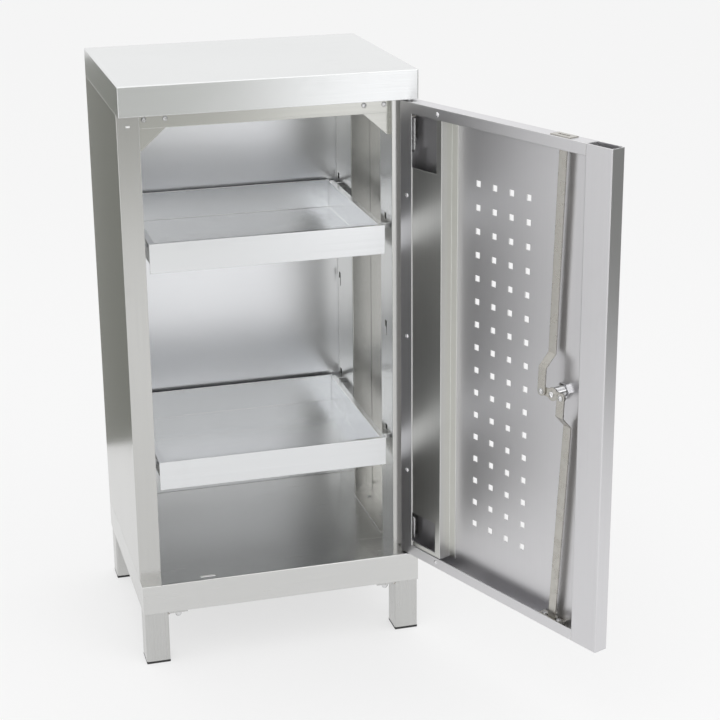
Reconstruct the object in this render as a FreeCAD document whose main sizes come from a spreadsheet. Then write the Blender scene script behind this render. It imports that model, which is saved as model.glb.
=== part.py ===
"""Stainless steel storage cabinet on legs, with a perforated door that stands open.

The frame has its origin on the floor, midway between the legs.
X runs to the right, Y to the back and Z up, all in millimetres.
The pieces of the door are drawn with the hinge axis as their origin and the door closed,
and then turned about that axis to where the door stands.
"""
import FreeCAD, Part
import math
import os
import re
import Sketcher

doc = FreeCAD.newDocument("StorageCabinet")
sheet = doc.addObject("Spreadsheet::Sheet", "Sizes")

# Driving dimensions
SIZES = {
    # Whole cabinet
    "cabinet_width": "500",
    "cabinet_depth": "400",
    "body_height": "825",
    "bend_radius": "1.6",
    # Cap and base pan
    "cap_height": "50",
    "cap_sheet": "1.5",
    "cap_return": "12",
    "cap_edge_radius": "2",
    "pan_height": "53",
    "pan_sheet": "1.5",
    "pan_return": "12",
    # Legs and feet
    "leg_height": "97",
    "leg_width": "42",
    "leg_wall": "2",
    "leg_corner_radius": "3",
    "foot_height": "4.5",
    "foot_plug_height": "14",
    "plug_clearance": "0.2",
    "ear_reach": "34",
    "ear_depth": "18",
    "ear_sheet": "3.5",
    "leg_bolt_diameter": "6",
    "leg_bolt_inset": "18",
    "leg_bolt_width": "11",
    "leg_bolt_head": "9",
    "leg_bolt_top": "4",
    # Walls and roof
    "panel_sheet": "1.2",
    "body_setback": "30",
    "post_width": "37.5",
    "rear_flange": "15",
    "floor_flange": "41.5",
    "roof_flange": "25",
    "roof_sheet": "1.2",
    "roof_gap": "0.5",
    "back_return": "11",
    # Uprights and their keyholes
    "upright_sheet": "1.2",
    "front_upright_depth": "70",
    "rear_upright_depth": "105",
    "keyhole_first": "362",
    "keyhole_pitch": "195.5",
    "keyhole_count": "3",
    "keyhole_height": "27",
    "keyhole_slot": "5",
    "keyhole_entry": "12",
    "front_keyhole_setback": "39",
    "rear_keyhole_setback": "18",
    # Front rail, gussets and screws
    "rail_height": "29",
    "rail_setback": "14",
    "rail_return": "12",
    "gusset_height": "66",
    "gusset_reach": "50",
    "gusset_flange": "14",
    "gusset_nose": "4",
    "screw_outer": "9.5",
    "screw_inner": "44.5",
    "screw_drop": "14",
    "screw_diameter": "5",
    "screw_head": "9",
    "screw_head_height": "3.2",
    "screw_tail": "3",
    # Rivets and buffer
    "rivet_diameter": "4",
    "rivet_head": "8",
    "rivet_head_height": "1.8",
    "floor_rivet_inset": "16.3",
    "floor_rivet_first": "72.8",
    "floor_rivet_last": "31.6",
    "floor_rivet_count": "2",
    "buffer_inset": "18.6",
    "buffer_drop": "21",
    "buffer_length": "7",
    "buffer_width": "3.5",
    "buffer_reach": "2.4",
    # Trays
    "tray_gap": "8.5",
    "tray_back_gap": "9.6",
    "tray_height": "51",
    "tray_sheet": "1.2",
    "tray_fold": "9",
    "tray_lip": "8",
    "tray_setback": "15",
    "tray_back_rise": "3",
    "tray_drop": "2",
    "hook_thickness": "3",
    "hook_height": "9",
    "hook_lip": "8",
    "hook_clearance": "0.8",
    # Door sheet
    "door_opening": "111.9",
    "door_gap_top": "3",
    "door_gap_bottom": "2",
    "door_gap_post": "3",
    "door_depth": "26",
    "door_width": "492.5",
    "door_sheet": "1.2",
    "door_return": "19",
    "hinge_inset": "12",
    "hinge_setback": "14",
    "hinge_edge": "8.5",
    "hinge_flange": "30.5",
    "band_width": "55.5",
    "band_foot": "54.5",
    "hole_size": "10",
    "hole_pitch": "40",
    "hole_columns": "4",
    "hole_rows": "16",
    "hole_first_column": "163",
    "hole_top_drop": "115",
    # Stiffener and its rivets
    "hat_width": "106.5",
    "hat_foot": "15",
    "hat_end_gap": "0.5",
    "window_start": "2",
    "window_end": "85",
    "window_top_height": "91",
    "window_bottom_height": "55.5",
    "window_end_bar": "8",
    "door_rivet_offset": "9",
    "rivet_under_window": "49.5",
    "rivet_over_window": "77.5",
    "end_rivet_offset": "88",
    "end_rivet_drop": "10",
    # Pivot pins and brackets
    "pin_diameter": "5",
    "pin_fit": "0.05",
    "pin_reach": "8",
    "pin_finger_offset": "13",
    "upper_pin_tail": "13",
    "lower_pin_tail": "2",
    "finger_rise_upper": "50",
    "finger_rise_lower": "34",
    "bracket_sheet": "2",
    "bracket_width": "16",
    "bracket_reach": "15",
    "bracket_height": "40",
    "bracket_low_height": "34",
    "bracket_drop": "26",
    # Lock
    "lock_inset": "108",
    "lock_height": "562.5",
    "lock_body": "19",
    "lock_neck": "3.5",
    "lock_collar": "24",
    "lock_collar_height": "2.5",
    "lock_plug": "11",
    "lock_nut": "25",
    "lock_nut_height": "6",
    "lock_fit": "0.1",
    "cam_level": "15.5",
    "cam_sheet": "2.5",
    "cam_arm": "22",
    "cam_hub": "22",
    "cam_end": "14",
    "cam_screw_depth": "8",
    # Rods and guides
    "rod_gap": "0.3",
    "rod_width": "16",
    "rod_sheet": "2.5",
    "rod_bolt": "6",
    "rod_bolt_head": "10",
    "rod_bolt_head_height": "3",
    "rod_fit": "0.1",
    "rod_eye_land": "0.2",
    "rod_upper_bend": "40",
    "rod_lower_bend": "33",
    "rod_bend_rise": "20",
    "rod_end_gap": "2.5",
    "guide_inset": "114",
    "guide_play": "4.5",
    "guide_gap": "0.8",
    "guide_sheet": "2",
    "guide_top_sheet": "1.5",
    "guide_top_width": "43",
    "guide_top_depth": "18",
    "guide_bottom_width": "52",
    "guide_bottom_height": "13",
    "guide_bottom_depth": "20",
    "guide_screw_offset": "17",
}
for row, (alias, text) in enumerate(SIZES.items(), start=1):
    sheet.set(f"A{row}", alias)
    sheet.set(f"B{row}", text)
    sheet.setAlias(f"B{row}", alias)
doc.recompute()

WORD = re.compile(r"[a-z][a-z_0-9]*")
TOUCH = 0.01


def linked(text):
    """Return the expression with every size written as a reference to the sheet."""
    return WORD.sub(lambda word: f"Sizes.{word.group()}" if word.group() in SIZES else word.group(), text)


def number(text):
    """Return the present value of an expression."""
    return float(sheet.evalExpression(text))


# Levels and faces that several pieces share
HALF_WIDTH = "cabinet_width / 2"
HALF_DEPTH = "cabinet_depth / 2"
FLOOR = "(leg_height + pan_height)"
BODY_TOP = f"({FLOOR} + body_height)"
CABINET_TOP = f"({BODY_TOP} + cap_height)"
BODY_FRONT = "(body_setback - cabinet_depth / 2)"
POST_FACE = "(cabinet_width / 2 - post_width)"
UPRIGHT_BACK = "(cabinet_depth / 2 - 2 * panel_sheet)"
RAIL_FRONT = f"({BODY_FRONT} + rail_setback)"
RAIL_BACK = f"({RAIL_FRONT} + panel_sheet)"
SCREW_LEVEL = f"({BODY_TOP} - screw_drop)"
SCREW_INSETS = ("screw_inner", "screw_outer")
WALL_FACE = "(cabinet_width / 2 - panel_sheet)"
FRONT_UPRIGHT_START = f"({BODY_FRONT} + panel_sheet)"
FRONT_UPRIGHT_END = f"({FRONT_UPRIGHT_START} + front_upright_depth)"
REAR_UPRIGHT_START = f"({UPRIGHT_BACK} - rear_upright_depth)"
FRONT_KEYHOLE = f"({BODY_FRONT} + front_keyhole_setback)"
REAR_KEYHOLE = f"({UPRIGHT_BACK} - rear_keyhole_setback)"
TRAY_FRONT = f"({BODY_FRONT} + tray_setback)"
TRAY_BACK = f"({UPRIGHT_BACK} - tray_back_gap)"
TRAY_HALF = f"({POST_FACE} - tray_gap)"
LEG_BOLT_X = "(cabinet_width / 2 - pan_sheet - leg_width - leg_bolt_inset)"
LEG_BOLT_Y = "(cabinet_depth / 2 - pan_sheet - pan_return / 2)"
RIVET_X = "(cabinet_width / 2 - floor_rivet_inset)"
SIDES = (("left", -1), ("right", 1))
CORNERS = (("front_left", -1, -1), ("front_right", 1, -1), ("back_left", -1, 1), ("back_right", 1, 1))

# Levels and faces of the door, from the hinge axis
HINGE_X = "(cabinet_width / 2 - hinge_inset)"
HINGE_Y = "(hinge_setback - cabinet_depth / 2)"
DOOR_INSIDE = "(body_setback - hinge_setback - door_gap_post)"
DOOR_OUTSIDE = f"({DOOR_INSIDE} - door_depth)"
SKIN_INSIDE = f"({DOOR_OUTSIDE} + door_sheet)"
DOOR_BOTTOM = f"({FLOOR} + door_gap_bottom)"
DOOR_TOP = f"({BODY_TOP} - door_gap_top)"
DOOR_FREE = "(door_width - hinge_edge)"
BAND_START = f"({DOOR_FREE} - band_width)"
LOCK_PLACE = f"({DOOR_FREE} - lock_inset)"
GUIDE_PLACE = f"({DOOR_FREE} - guide_inset)"
RETURN_INSIDE = f"({DOOR_INSIDE} - door_sheet)"
HOLE_COLUMN = "-(hole_first_column + (hole_columns - 1) * hole_pitch)"
HOLE_ROW = f"({DOOR_TOP} - hole_top_drop - (hole_rows - 1) * hole_pitch)"
HAT_BOTTOM = f"({DOOR_BOTTOM} + door_return + hat_end_gap)"
HAT_EDGE = "(hinge_edge - hat_width)"
UPPER_WINDOW = f"({DOOR_TOP} - door_return - window_top_height)", f"({DOOR_TOP} - door_return)"
LOWER_WINDOW = f"({HAT_BOTTOM} + window_end_bar)", f"({HAT_BOTTOM} + window_end_bar + window_bottom_height)"
LOW_RIVET = f"({LOWER_WINDOW[1]} + rivet_over_window)"
HIGH_RIVET = f"({UPPER_WINDOW[0]} - rivet_under_window)"
RIVET_LEVELS = (LOW_RIVET, f"({LOW_RIVET} + {HIGH_RIVET}) / 2", HIGH_RIVET)
END_RIVET_LEVELS = (f"{DOOR_BOTTOM} + end_rivet_drop", f"{DOOR_TOP} - end_rivet_drop")
UPPER_EARS = f"({DOOR_TOP} - bracket_drop - bracket_height)", f"({DOOR_TOP} - bracket_drop)"
LOWER_EARS = f"({DOOR_BOTTOM} + bracket_drop)", f"({DOOR_BOTTOM} + bracket_drop + bracket_low_height)"

# Levels of the lock, and the holes that its rods and the pins need
HOUSING_END = "(cam_level - lock_neck)"
CAM_TOP = "(cam_level + cam_sheet)"
ROD_LEVEL = f"({CAM_TOP} + rod_gap)"
ROD_TOP = f"({ROD_LEVEL} + rod_sheet)"
ARMS = (("upper", 1), ("lower", -1))
ROD_PLACE = f"({HINGE_X} - {GUIDE_PLACE})"
ROD_SLOT_HALF = "(rod_width / 2 + guide_play)"
ROD_SLOT_DEPTH = "(rod_sheet / 2 + guide_gap)"
PIN_HOLE = "(pin_diameter + 2 * pin_fit)"


def new_body(label):
    """Return a body with this label."""
    body = doc.addObject("PartDesign::Body", label)
    body.Label = label
    return body


def polygon(*corners):
    """Return a closed outline through the corners."""
    return ("polygon", corners)


def rectangle(left, right, low, high):
    """Return a rectangle between two sides and two levels."""
    return polygon((left, low), (right, low), (right, high), (left, high))


def circle(across, up, diameter):
    """Return a circle about a centre."""
    return ("circle", (across, up, diameter))


def folded(path, thickness, left=True):
    """Return the outline of a sheet that is bent along level and upright runs.

    The sheet lies on the left of the path, or on its right.
    """
    places = [(number(across), number(up)) for across, up in path]
    turn = 1 if left else -1
    normals = []
    for (x0, y0), (x1, y1) in zip(places, places[1:]):
        length = math.hypot(x1 - x0, y1 - y0)
        normals.append((round(-turn * (y1 - y0) / length), round(turn * (x1 - x0) / length)))
    other_side = []
    for index, (across, up) in enumerate(path):
        meeting = normals[max(index - 1, 0):index + 1]
        step_x = max((normal[0] for normal in meeting), key=abs)
        step_y = max((normal[1] for normal in meeting), key=abs)
        other_side.append((shifted(across, step_x, thickness), shifted(up, step_y, thickness)))
    return polygon(*path, *reversed(other_side))


def shifted(text, step, distance):
    """Return an expression moved by a distance, forward, back or not at all."""
    if step == 0:
        return text
    return f"{text} {'+' if step > 0 else '-'} {distance}"


def hold(sketch, kind, geometry, point, text):
    """Tie one coordinate of a sketch point to an expression."""
    index = sketch.addConstraint(Sketcher.Constraint(kind, -1, 1, geometry, point, number(text)))
    sketch.setExpression(f"Constraints[{index}]", linked(text))


def draw_polygon(sketch, corners):
    """Draw a closed outline with its corners tied to their expressions."""
    first = sketch.GeometryCount
    places = [FreeCAD.Vector(number(across), number(up), 0) for across, up in corners]
    for start, end in zip(places, places[1:] + places[:1]):
        sketch.addGeometry(Part.LineSegment(start, end), False)
    for index, (across, up) in enumerate(corners):
        following = first + (index + 1) % len(corners)
        sketch.addConstraint(Sketcher.Constraint("Coincident", first + index, 2, following, 1))
        hold(sketch, "DistanceX", first + index, 1, across)
        hold(sketch, "DistanceY", first + index, 1, up)


def draw_circle(sketch, values):
    """Draw a circle with its centre and diameter tied to their expressions."""
    across, up, diameter = values
    centre = FreeCAD.Vector(number(across), number(up), 0)
    shape = Part.Circle(centre, FreeCAD.Vector(0, 0, 1), number(diameter) / 2)
    geometry = sketch.addGeometry(shape, False)
    hold(sketch, "DistanceX", geometry, 3, across)
    hold(sketch, "DistanceY", geometry, 3, up)
    index = sketch.addConstraint(Sketcher.Constraint("Diameter", geometry, number(diameter)))
    sketch.setExpression(f"Constraints[{index}]", linked(diameter))


DRAW = {"polygon": draw_polygon, "circle": draw_circle}
PLANE = {"X": "YZ_Plane", "Y": "XZ_Plane", "Z": "XY_Plane"}


def draw_on(body, role, offset, shapes):
    """Return a sketch on one of the body's planes, moved along its normal."""
    sketch = body.newObject("Sketcher::SketchObject", "Sketch")
    plane = [feature for feature in body.Origin.OriginFeatures if feature.Role == role][0]
    sketch.AttachmentSupport = [(plane, "")]
    sketch.MapMode = "FlatFace"
    sketch.setExpression("AttachmentOffset.Base.z", linked(offset))
    for kind, values in shapes:
        DRAW[kind](sketch, values)
    return sketch


def extrude(body, kind, axis, start, end, shapes):
    """Pad or pocket the shapes along an axis, from one level to the other."""
    offset = f"-({end})" if axis == "Y" else start
    sketch = draw_on(body, PLANE[axis], offset, shapes)
    feature = body.newObject(f"PartDesign::{kind}", kind)
    feature.Profile = sketch
    feature.setExpression("Length", linked(f"({end}) - ({start})"))
    feature.Reversed = kind == "Pocket"
    return feature


def pad(body, axis, start, end, *shapes):
    """Add material between two levels along an axis."""
    return extrude(body, "Pad", axis, start, end, shapes)


def pocket(body, axis, start, end, *shapes):
    """Take material away between two levels along an axis."""
    return extrude(body, "Pocket", axis, start, end, shapes)


def round_edges(body, radius, wanted):
    """Round the edges of a body that pass a test on their two ends."""
    doc.recompute()
    base = body.Tip
    names = []
    for index, edge in enumerate(base.Shape.Edges, start=1):
        ends = [vertex.Point for vertex in edge.Vertexes]
        if len(ends) == 2 and wanted(*ends):
            names.append(f"Edge{index}")
    fillet = body.newObject("PartDesign::Fillet", "Fillet")
    fillet.Base = (base, names)
    fillet.setExpression("Radius", linked(radius))
    return fillet


def near(value, text):
    """Tell whether a coordinate lies at an expression's value."""
    return abs(value - number(text)) < TOUCH


def round_along(body, axis, radius, *places):
    """Round the edges that run along an axis through the given places."""
    first, second = {"X": "yz", "Y": "xz", "Z": "xy"}[axis]

    def wanted(start, end):
        return any(all(near(getattr(point, first), one) and near(getattr(point, second), other)
                       for point in (start, end)) for one, other in places)

    return round_edges(body, radius, wanted)


def repeat(body, feature, patterns):
    """Repeat a feature along the axes of its own sketch."""
    doc.recompute()
    transform = body.newObject("PartDesign::MultiTransform", "Pattern")
    transform.Originals = [feature]
    steps = []
    for direction, pitch, count in patterns:
        step = body.newObject("PartDesign::LinearPattern", "Step")
        step.Direction = (feature.Profile[0], [direction])
        step.Mode = "Spacing"
        step.setExpression("Offset", linked(pitch))
        step.setExpression("Occurrences", linked(count))
        steps.append(step)
    transform.Transformations = steps
    body.Tip = transform
    return transform


def across(sign, inner, outer):
    """Return the two ends of a span on the right side, or on the left one, in rising order."""
    if sign > 0:
        return inner, outer
    return f"-({outer})", f"-({inner})"


def on_side(sign, text):
    """Return a place on the right or back side, or on the left or front one."""
    return text if sign > 0 else f"-({text})"


def pivot_openings():
    """Return the pivot hole and the rod slot that the door needs above and below."""
    slot_low = f"{HINGE_Y} - {ROD_SLOT_DEPTH} - guide_gap"
    slot_high = f"{HINGE_Y} + {ROD_SLOT_DEPTH} + guide_gap"
    slot = rectangle(f"{ROD_PLACE} - {ROD_SLOT_HALF} - guide_gap", f"{ROD_PLACE} + {ROD_SLOT_HALF} + guide_gap",
                     slot_low, slot_high)
    return circle(HINGE_X, HINGE_Y, PIN_HOLE), slot


def top_cover():
    """Build the cap: a folded cover, open below inside its returns."""
    body = new_body("top_cover")
    pad(body, "Z", BODY_TOP, CABINET_TOP,
        rectangle(f"-{HALF_WIDTH}", HALF_WIDTH, f"-{HALF_DEPTH}", HALF_DEPTH))
    round_edges(body, "cap_edge_radius",
                lambda start, end: near(max(start.z, end.z), CABINET_TOP))
    inside_x = f"({HALF_WIDTH} - cap_sheet)"
    inside_y = f"({HALF_DEPTH} - cap_sheet)"
    pocket(body, "Z", f"{BODY_TOP} + cap_sheet", f"{CABINET_TOP} - cap_sheet",
           rectangle(f"-{inside_x}", inside_x, f"-{inside_y}", inside_y))
    mouth_x = f"({inside_x} - cap_return)"
    pocket(body, "Z", BODY_TOP, f"{BODY_TOP} + cap_sheet",
           rectangle(f"-{mouth_x}", mouth_x, BODY_FRONT, f"{inside_y} - cap_return"),
           *pivot_openings())
    return body


def base_pan():
    """Build the base: a folded pan, open below, with returns between the legs."""
    body = new_body("base_pan")
    pad(body, "Z", "leg_height", FLOOR,
        rectangle(f"-{HALF_WIDTH}", HALF_WIDTH, f"-{HALF_DEPTH}", HALF_DEPTH))
    round_edges(body, "cap_edge_radius", lambda start, end: abs(start.z - end.z) > TOUCH or (
        near(start.z, FLOOR) and near(start.y, f"-{HALF_DEPTH}") and near(end.y, f"-{HALF_DEPTH}")))
    inside_x = f"({HALF_WIDTH} - pan_sheet)"
    inside_y = f"({HALF_DEPTH} - pan_sheet)"
    mouth_x = f"({inside_x} - pan_return)"
    mouth_y = f"({inside_y} - pan_return)"
    pocket(body, "Z", "leg_height + pan_sheet", f"{FLOOR} - pan_sheet",
           rectangle(f"-{inside_x}", inside_x, f"-{inside_y}", inside_y))
    pocket(body, "Z", "leg_height", "leg_height + pan_sheet",
           rectangle(f"-{mouth_x}", mouth_x, f"-{mouth_y}", mouth_y))
    for _, side, end in CORNERS:
        left, right = across(side, f"{inside_x} - leg_width", inside_x)
        low, high = across(end, f"{inside_y} - leg_width", inside_y)
        pocket(body, "Z", "leg_height", "leg_height + pan_sheet", rectangle(left, right, low, high))
        pocket(body, "Z", "leg_height", "leg_height + pan_sheet",
               circle(on_side(side, LEG_BOLT_X), on_side(end, LEG_BOLT_Y), "leg_bolt_diameter"))
    holes = [circle(on_side(side, RIVET_X), place, "rivet_diameter")
             for _, side in SIDES for place in floor_rivet_places()]
    pocket(body, "Z", f"{FLOOR} - pan_sheet", FLOOR, *pivot_openings(), *holes)
    return body


def floor_rivet_places():
    """Return the place of each rivet along a floor flange."""
    first = f"({FRONT_UPRIGHT_END} + floor_rivet_first)"
    last = f"({REAR_UPRIGHT_START} - floor_rivet_last)"
    return [f"({first} + ({last} - {first}) * {index} / (floor_rivet_count - 1))"
            for index in range(int(number("floor_rivet_count")))]


def leg(name, side, end):
    """Build a square tube leg with the ear that bolts under the pan."""
    body = new_body(f"leg_{name}")
    outer_x = f"({HALF_WIDTH} - pan_sheet)"
    outer_y = f"({HALF_DEPTH} - pan_sheet)"
    left, right = across(side, f"{outer_x} - leg_width", outer_x)
    low, high = across(end, f"{outer_y} - leg_width", outer_y)
    pad(body, "Z", "foot_height", f"{FLOOR} - pan_sheet",
        rectangle(left, right, low, high),
        rectangle(f"{left} + leg_wall", f"{right} - leg_wall", f"{low} + leg_wall", f"{high} - leg_wall"))
    round_along(body, "Z", "leg_corner_radius", (left, low), (left, high), (right, low), (right, high))
    ear_left, ear_right = across(side, f"{outer_x} - leg_width - ear_reach", f"{outer_x} - leg_width")
    ear_low, ear_high = across(end, f"{outer_y} - ear_depth", outer_y)
    pad(body, "Z", "leg_height - ear_sheet", "leg_height", rectangle(ear_left, ear_right, ear_low, ear_high))
    pocket(body, "Z", "leg_height - ear_sheet", "leg_height",
           circle(on_side(side, LEG_BOLT_X), on_side(end, LEG_BOLT_Y), "leg_bolt_diameter"))
    return body


def foot(name, side, end):
    """Build the black foot with its plug inside the tube."""
    body = new_body(f"foot_{name}")
    outer_x = f"({HALF_WIDTH} - pan_sheet)"
    outer_y = f"({HALF_DEPTH} - pan_sheet)"
    left, right = across(side, f"{outer_x} - leg_width", outer_x)
    low, high = across(end, f"{outer_y} - leg_width", outer_y)
    inset = "(leg_wall + plug_clearance)"
    pad(body, "Z", "0", "foot_height", rectangle(left, right, low, high))
    round_along(body, "Z", "leg_corner_radius", (left, low), (left, high), (right, low), (right, high))
    pad(body, "Z", "foot_height", "foot_height + foot_plug_height",
        rectangle(f"{left} + {inset}", f"{right} - {inset}", f"{low} + {inset}", f"{high} - {inset}"))
    return body


def leg_bolts():
    """Build the dome nuts and bolts of the four legs."""
    body = new_body("leg_bolts")
    body.AllowCompound = True
    for _, side, end in CORNERS:
        place = on_side(side, LEG_BOLT_X), on_side(end, LEG_BOLT_Y)
        pad(body, "Z", "leg_height - ear_sheet - leg_bolt_head", "leg_height - ear_sheet",
            circle(*place, "leg_bolt_width"))
        pad(body, "Z", "leg_height - ear_sheet", "leg_height + pan_sheet", circle(*place, "leg_bolt_diameter"))
        pad(body, "Z", "leg_height + pan_sheet", "leg_height + pan_sheet + leg_bolt_top",
            circle(*place, "leg_bolt_width"))
    return body


def side_panel(name, side):
    """Build a side wall with its post face, rear flange, floor flange and roof flange."""
    body = new_body(f"side_panel_{name}")
    path = [(on_side(side, POST_FACE), BODY_FRONT), (on_side(side, HALF_WIDTH), BODY_FRONT),
            (on_side(side, HALF_WIDTH), HALF_DEPTH),
            (on_side(side, f"{HALF_WIDTH} - rear_flange"), HALF_DEPTH)]
    pad(body, "Z", FLOOR, BODY_TOP, folded(path, "panel_sheet", left=side > 0))
    round_along(body, "Z", "bend_radius", *path[1:3])
    left, right = across(side, f"{HALF_WIDTH} - floor_flange", WALL_FACE)
    pad(body, "Z", FLOOR, f"{FLOOR} + panel_sheet",
        rectangle(left, right, FRONT_UPRIGHT_END, REAR_UPRIGHT_START))
    left, right = across(side, f"{HALF_WIDTH} - roof_flange", WALL_FACE)
    pad(body, "Z", f"{BODY_TOP} - panel_sheet", BODY_TOP,
        rectangle(left, right, FRONT_UPRIGHT_START, UPRIGHT_BACK))
    holes = [circle(on_side(side, RIVET_X), place, "rivet_diameter") for place in floor_rivet_places()]
    pocket(body, "Z", FLOOR, f"{FLOOR} + panel_sheet", *holes)
    return body


def upright(name, side, start, end, keyhole_place):
    """Build a channel with its row of keyholes for the trays."""
    body = new_body(f"upright_{name}")
    path = [(on_side(side, WALL_FACE), start), (on_side(side, POST_FACE), start),
            (on_side(side, POST_FACE), end), (on_side(side, WALL_FACE), end)]
    pad(body, "Z", FLOOR, f"{BODY_TOP} - panel_sheet", folded(path, "upright_sheet", left=side < 0))
    round_along(body, "Z", "bend_radius", *path[1:3])
    low_side, high_side = across(side, POST_FACE, f"{POST_FACE} + upright_sheet")
    for index in range(int(number("keyhole_count"))):
        middle = f"(keyhole_first + {index} * keyhole_pitch)"
        bottom = f"{middle} - keyhole_height / 2"
        top = f"{middle} + keyhole_height / 2"
        front = f"{keyhole_place} - keyhole_slot / 2"
        back = f"{keyhole_place} + keyhole_slot / 2"
        entry = f"{back} + keyhole_entry / 2"
        pocket(body, "X", low_side, high_side,
               polygon((front, bottom), (back, bottom), (back, f"{top} - keyhole_entry"),
                       (entry, f"{top} - keyhole_entry"), (entry, top), (front, top)))
    return body


def back_panel():
    """Build the back wall with the return that carries the roof."""
    body = new_body("back_panel")
    pad(body, "Y", UPRIGHT_BACK, f"{UPRIGHT_BACK} + panel_sheet",
        rectangle(f"-{WALL_FACE}", WALL_FACE, FLOOR, BODY_TOP))
    half = f"({HALF_WIDTH} - roof_flange)"
    pad(body, "Z", f"{BODY_TOP} - panel_sheet", BODY_TOP,
        rectangle(f"-{half}", half, f"{UPRIGHT_BACK} - back_return", UPRIGHT_BACK))
    return body


def roof_panel():
    """Build the flat roof sheet inside the cap's returns."""
    body = new_body("roof_panel")
    half = f"({HALF_WIDTH} - cap_sheet - cap_return - roof_gap)"
    pad(body, "Z", BODY_TOP, f"{BODY_TOP} + roof_sheet",
        rectangle(f"-{half}", half, f"{BODY_FRONT} + roof_gap",
                  f"{HALF_DEPTH} - cap_sheet - cap_return - roof_gap"))
    return body


def screw_places():
    """Return the place across the cabinet of each rail screw."""
    return [on_side(side, f"({POST_FACE} - {inset})") for _, side in SIDES for inset in SCREW_INSETS]


def front_rail():
    """Build the rail over the opening, with its returns."""
    body = new_body("front_rail")
    path = [(f"{RAIL_FRONT} + rail_return", BODY_TOP), (RAIL_FRONT, BODY_TOP),
            (RAIL_FRONT, f"{BODY_TOP} - rail_height")]
    pad(body, "X", f"-{POST_FACE}", POST_FACE, folded(path, "panel_sheet"))
    round_along(body, "X", "bend_radius", path[1])
    half = f"({POST_FACE} - gusset_reach - roof_gap)"
    pad(body, "Z", f"{BODY_TOP} - rail_height", f"{BODY_TOP} - rail_height + panel_sheet",
        rectangle(f"-{half}", half, RAIL_BACK, f"{RAIL_FRONT} + rail_return"))
    holes = [circle(place, SCREW_LEVEL, "screw_diameter") for place in screw_places()]
    pocket(body, "Y", RAIL_FRONT, RAIL_BACK, *holes)
    return body


def gusset(name, side):
    """Build the corner plate behind the rail, with its flange on the post."""
    body = new_body(f"gusset_{name}")
    top = f"{BODY_TOP} - panel_sheet"
    bottom = f"{BODY_TOP} - gusset_height"
    corner = f"{BODY_TOP} - rail_height + gusset_nose"
    pad(body, "Y", RAIL_BACK, f"{RAIL_BACK} + panel_sheet",
        polygon((on_side(side, POST_FACE), top), (on_side(side, f"{POST_FACE} - gusset_reach"), top),
                (on_side(side, f"{POST_FACE} - gusset_reach"), corner),
                (on_side(side, f"{POST_FACE} - gusset_nose"), bottom), (on_side(side, POST_FACE), bottom)))
    low_side, high_side = across(side, f"{POST_FACE} - panel_sheet", POST_FACE)
    pad(body, "X", low_side, high_side,
        rectangle(RAIL_BACK, f"{RAIL_BACK} + gusset_flange", bottom, top))
    holes = [circle(on_side(side, f"({POST_FACE} - {inset})"), SCREW_LEVEL, "screw_diameter")
             for inset in SCREW_INSETS]
    pocket(body, "Y", RAIL_BACK, f"{RAIL_BACK} + panel_sheet", *holes)
    return body


def rail_screws():
    """Build the four button screws that hold the rail to the gussets."""
    body = new_body("rail_screws")
    body.AllowCompound = True
    for place in screw_places():
        pad(body, "Y", f"{RAIL_FRONT} - screw_head_height", RAIL_FRONT, circle(place, SCREW_LEVEL, "screw_head"))
        pad(body, "Y", RAIL_FRONT, f"{RAIL_BACK} + panel_sheet + screw_tail",
            circle(place, SCREW_LEVEL, "screw_diameter"))
    return body


def floor_rivets():
    """Build the rivets that hold the floor flanges to the pan."""
    body = new_body("floor_rivets")
    body.AllowCompound = True
    for _, side in SIDES:
        for place in floor_rivet_places():
            pad(body, "Z", f"{FLOOR} - pan_sheet", f"{FLOOR} + panel_sheet",
                circle(on_side(side, RIVET_X), place, "rivet_diameter"))
            pad(body, "Z", f"{FLOOR} + panel_sheet", f"{FLOOR} + panel_sheet + rivet_head_height",
                circle(on_side(side, RIVET_X), place, "rivet_head"))
    return body


def door_buffer():
    """Build the rubber buffer on the post that the closed door meets."""
    body = new_body("door_buffer")
    middle = f"(buffer_inset - {HALF_WIDTH})"
    level = f"({BODY_TOP} - buffer_drop)"
    pad(body, "Y", f"{BODY_FRONT} - buffer_reach", BODY_FRONT,
        rectangle(f"{middle} - buffer_length / 2", f"{middle} + buffer_length / 2",
                  f"{level} - buffer_width / 2", f"{level} + buffer_width / 2"))
    return body


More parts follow.
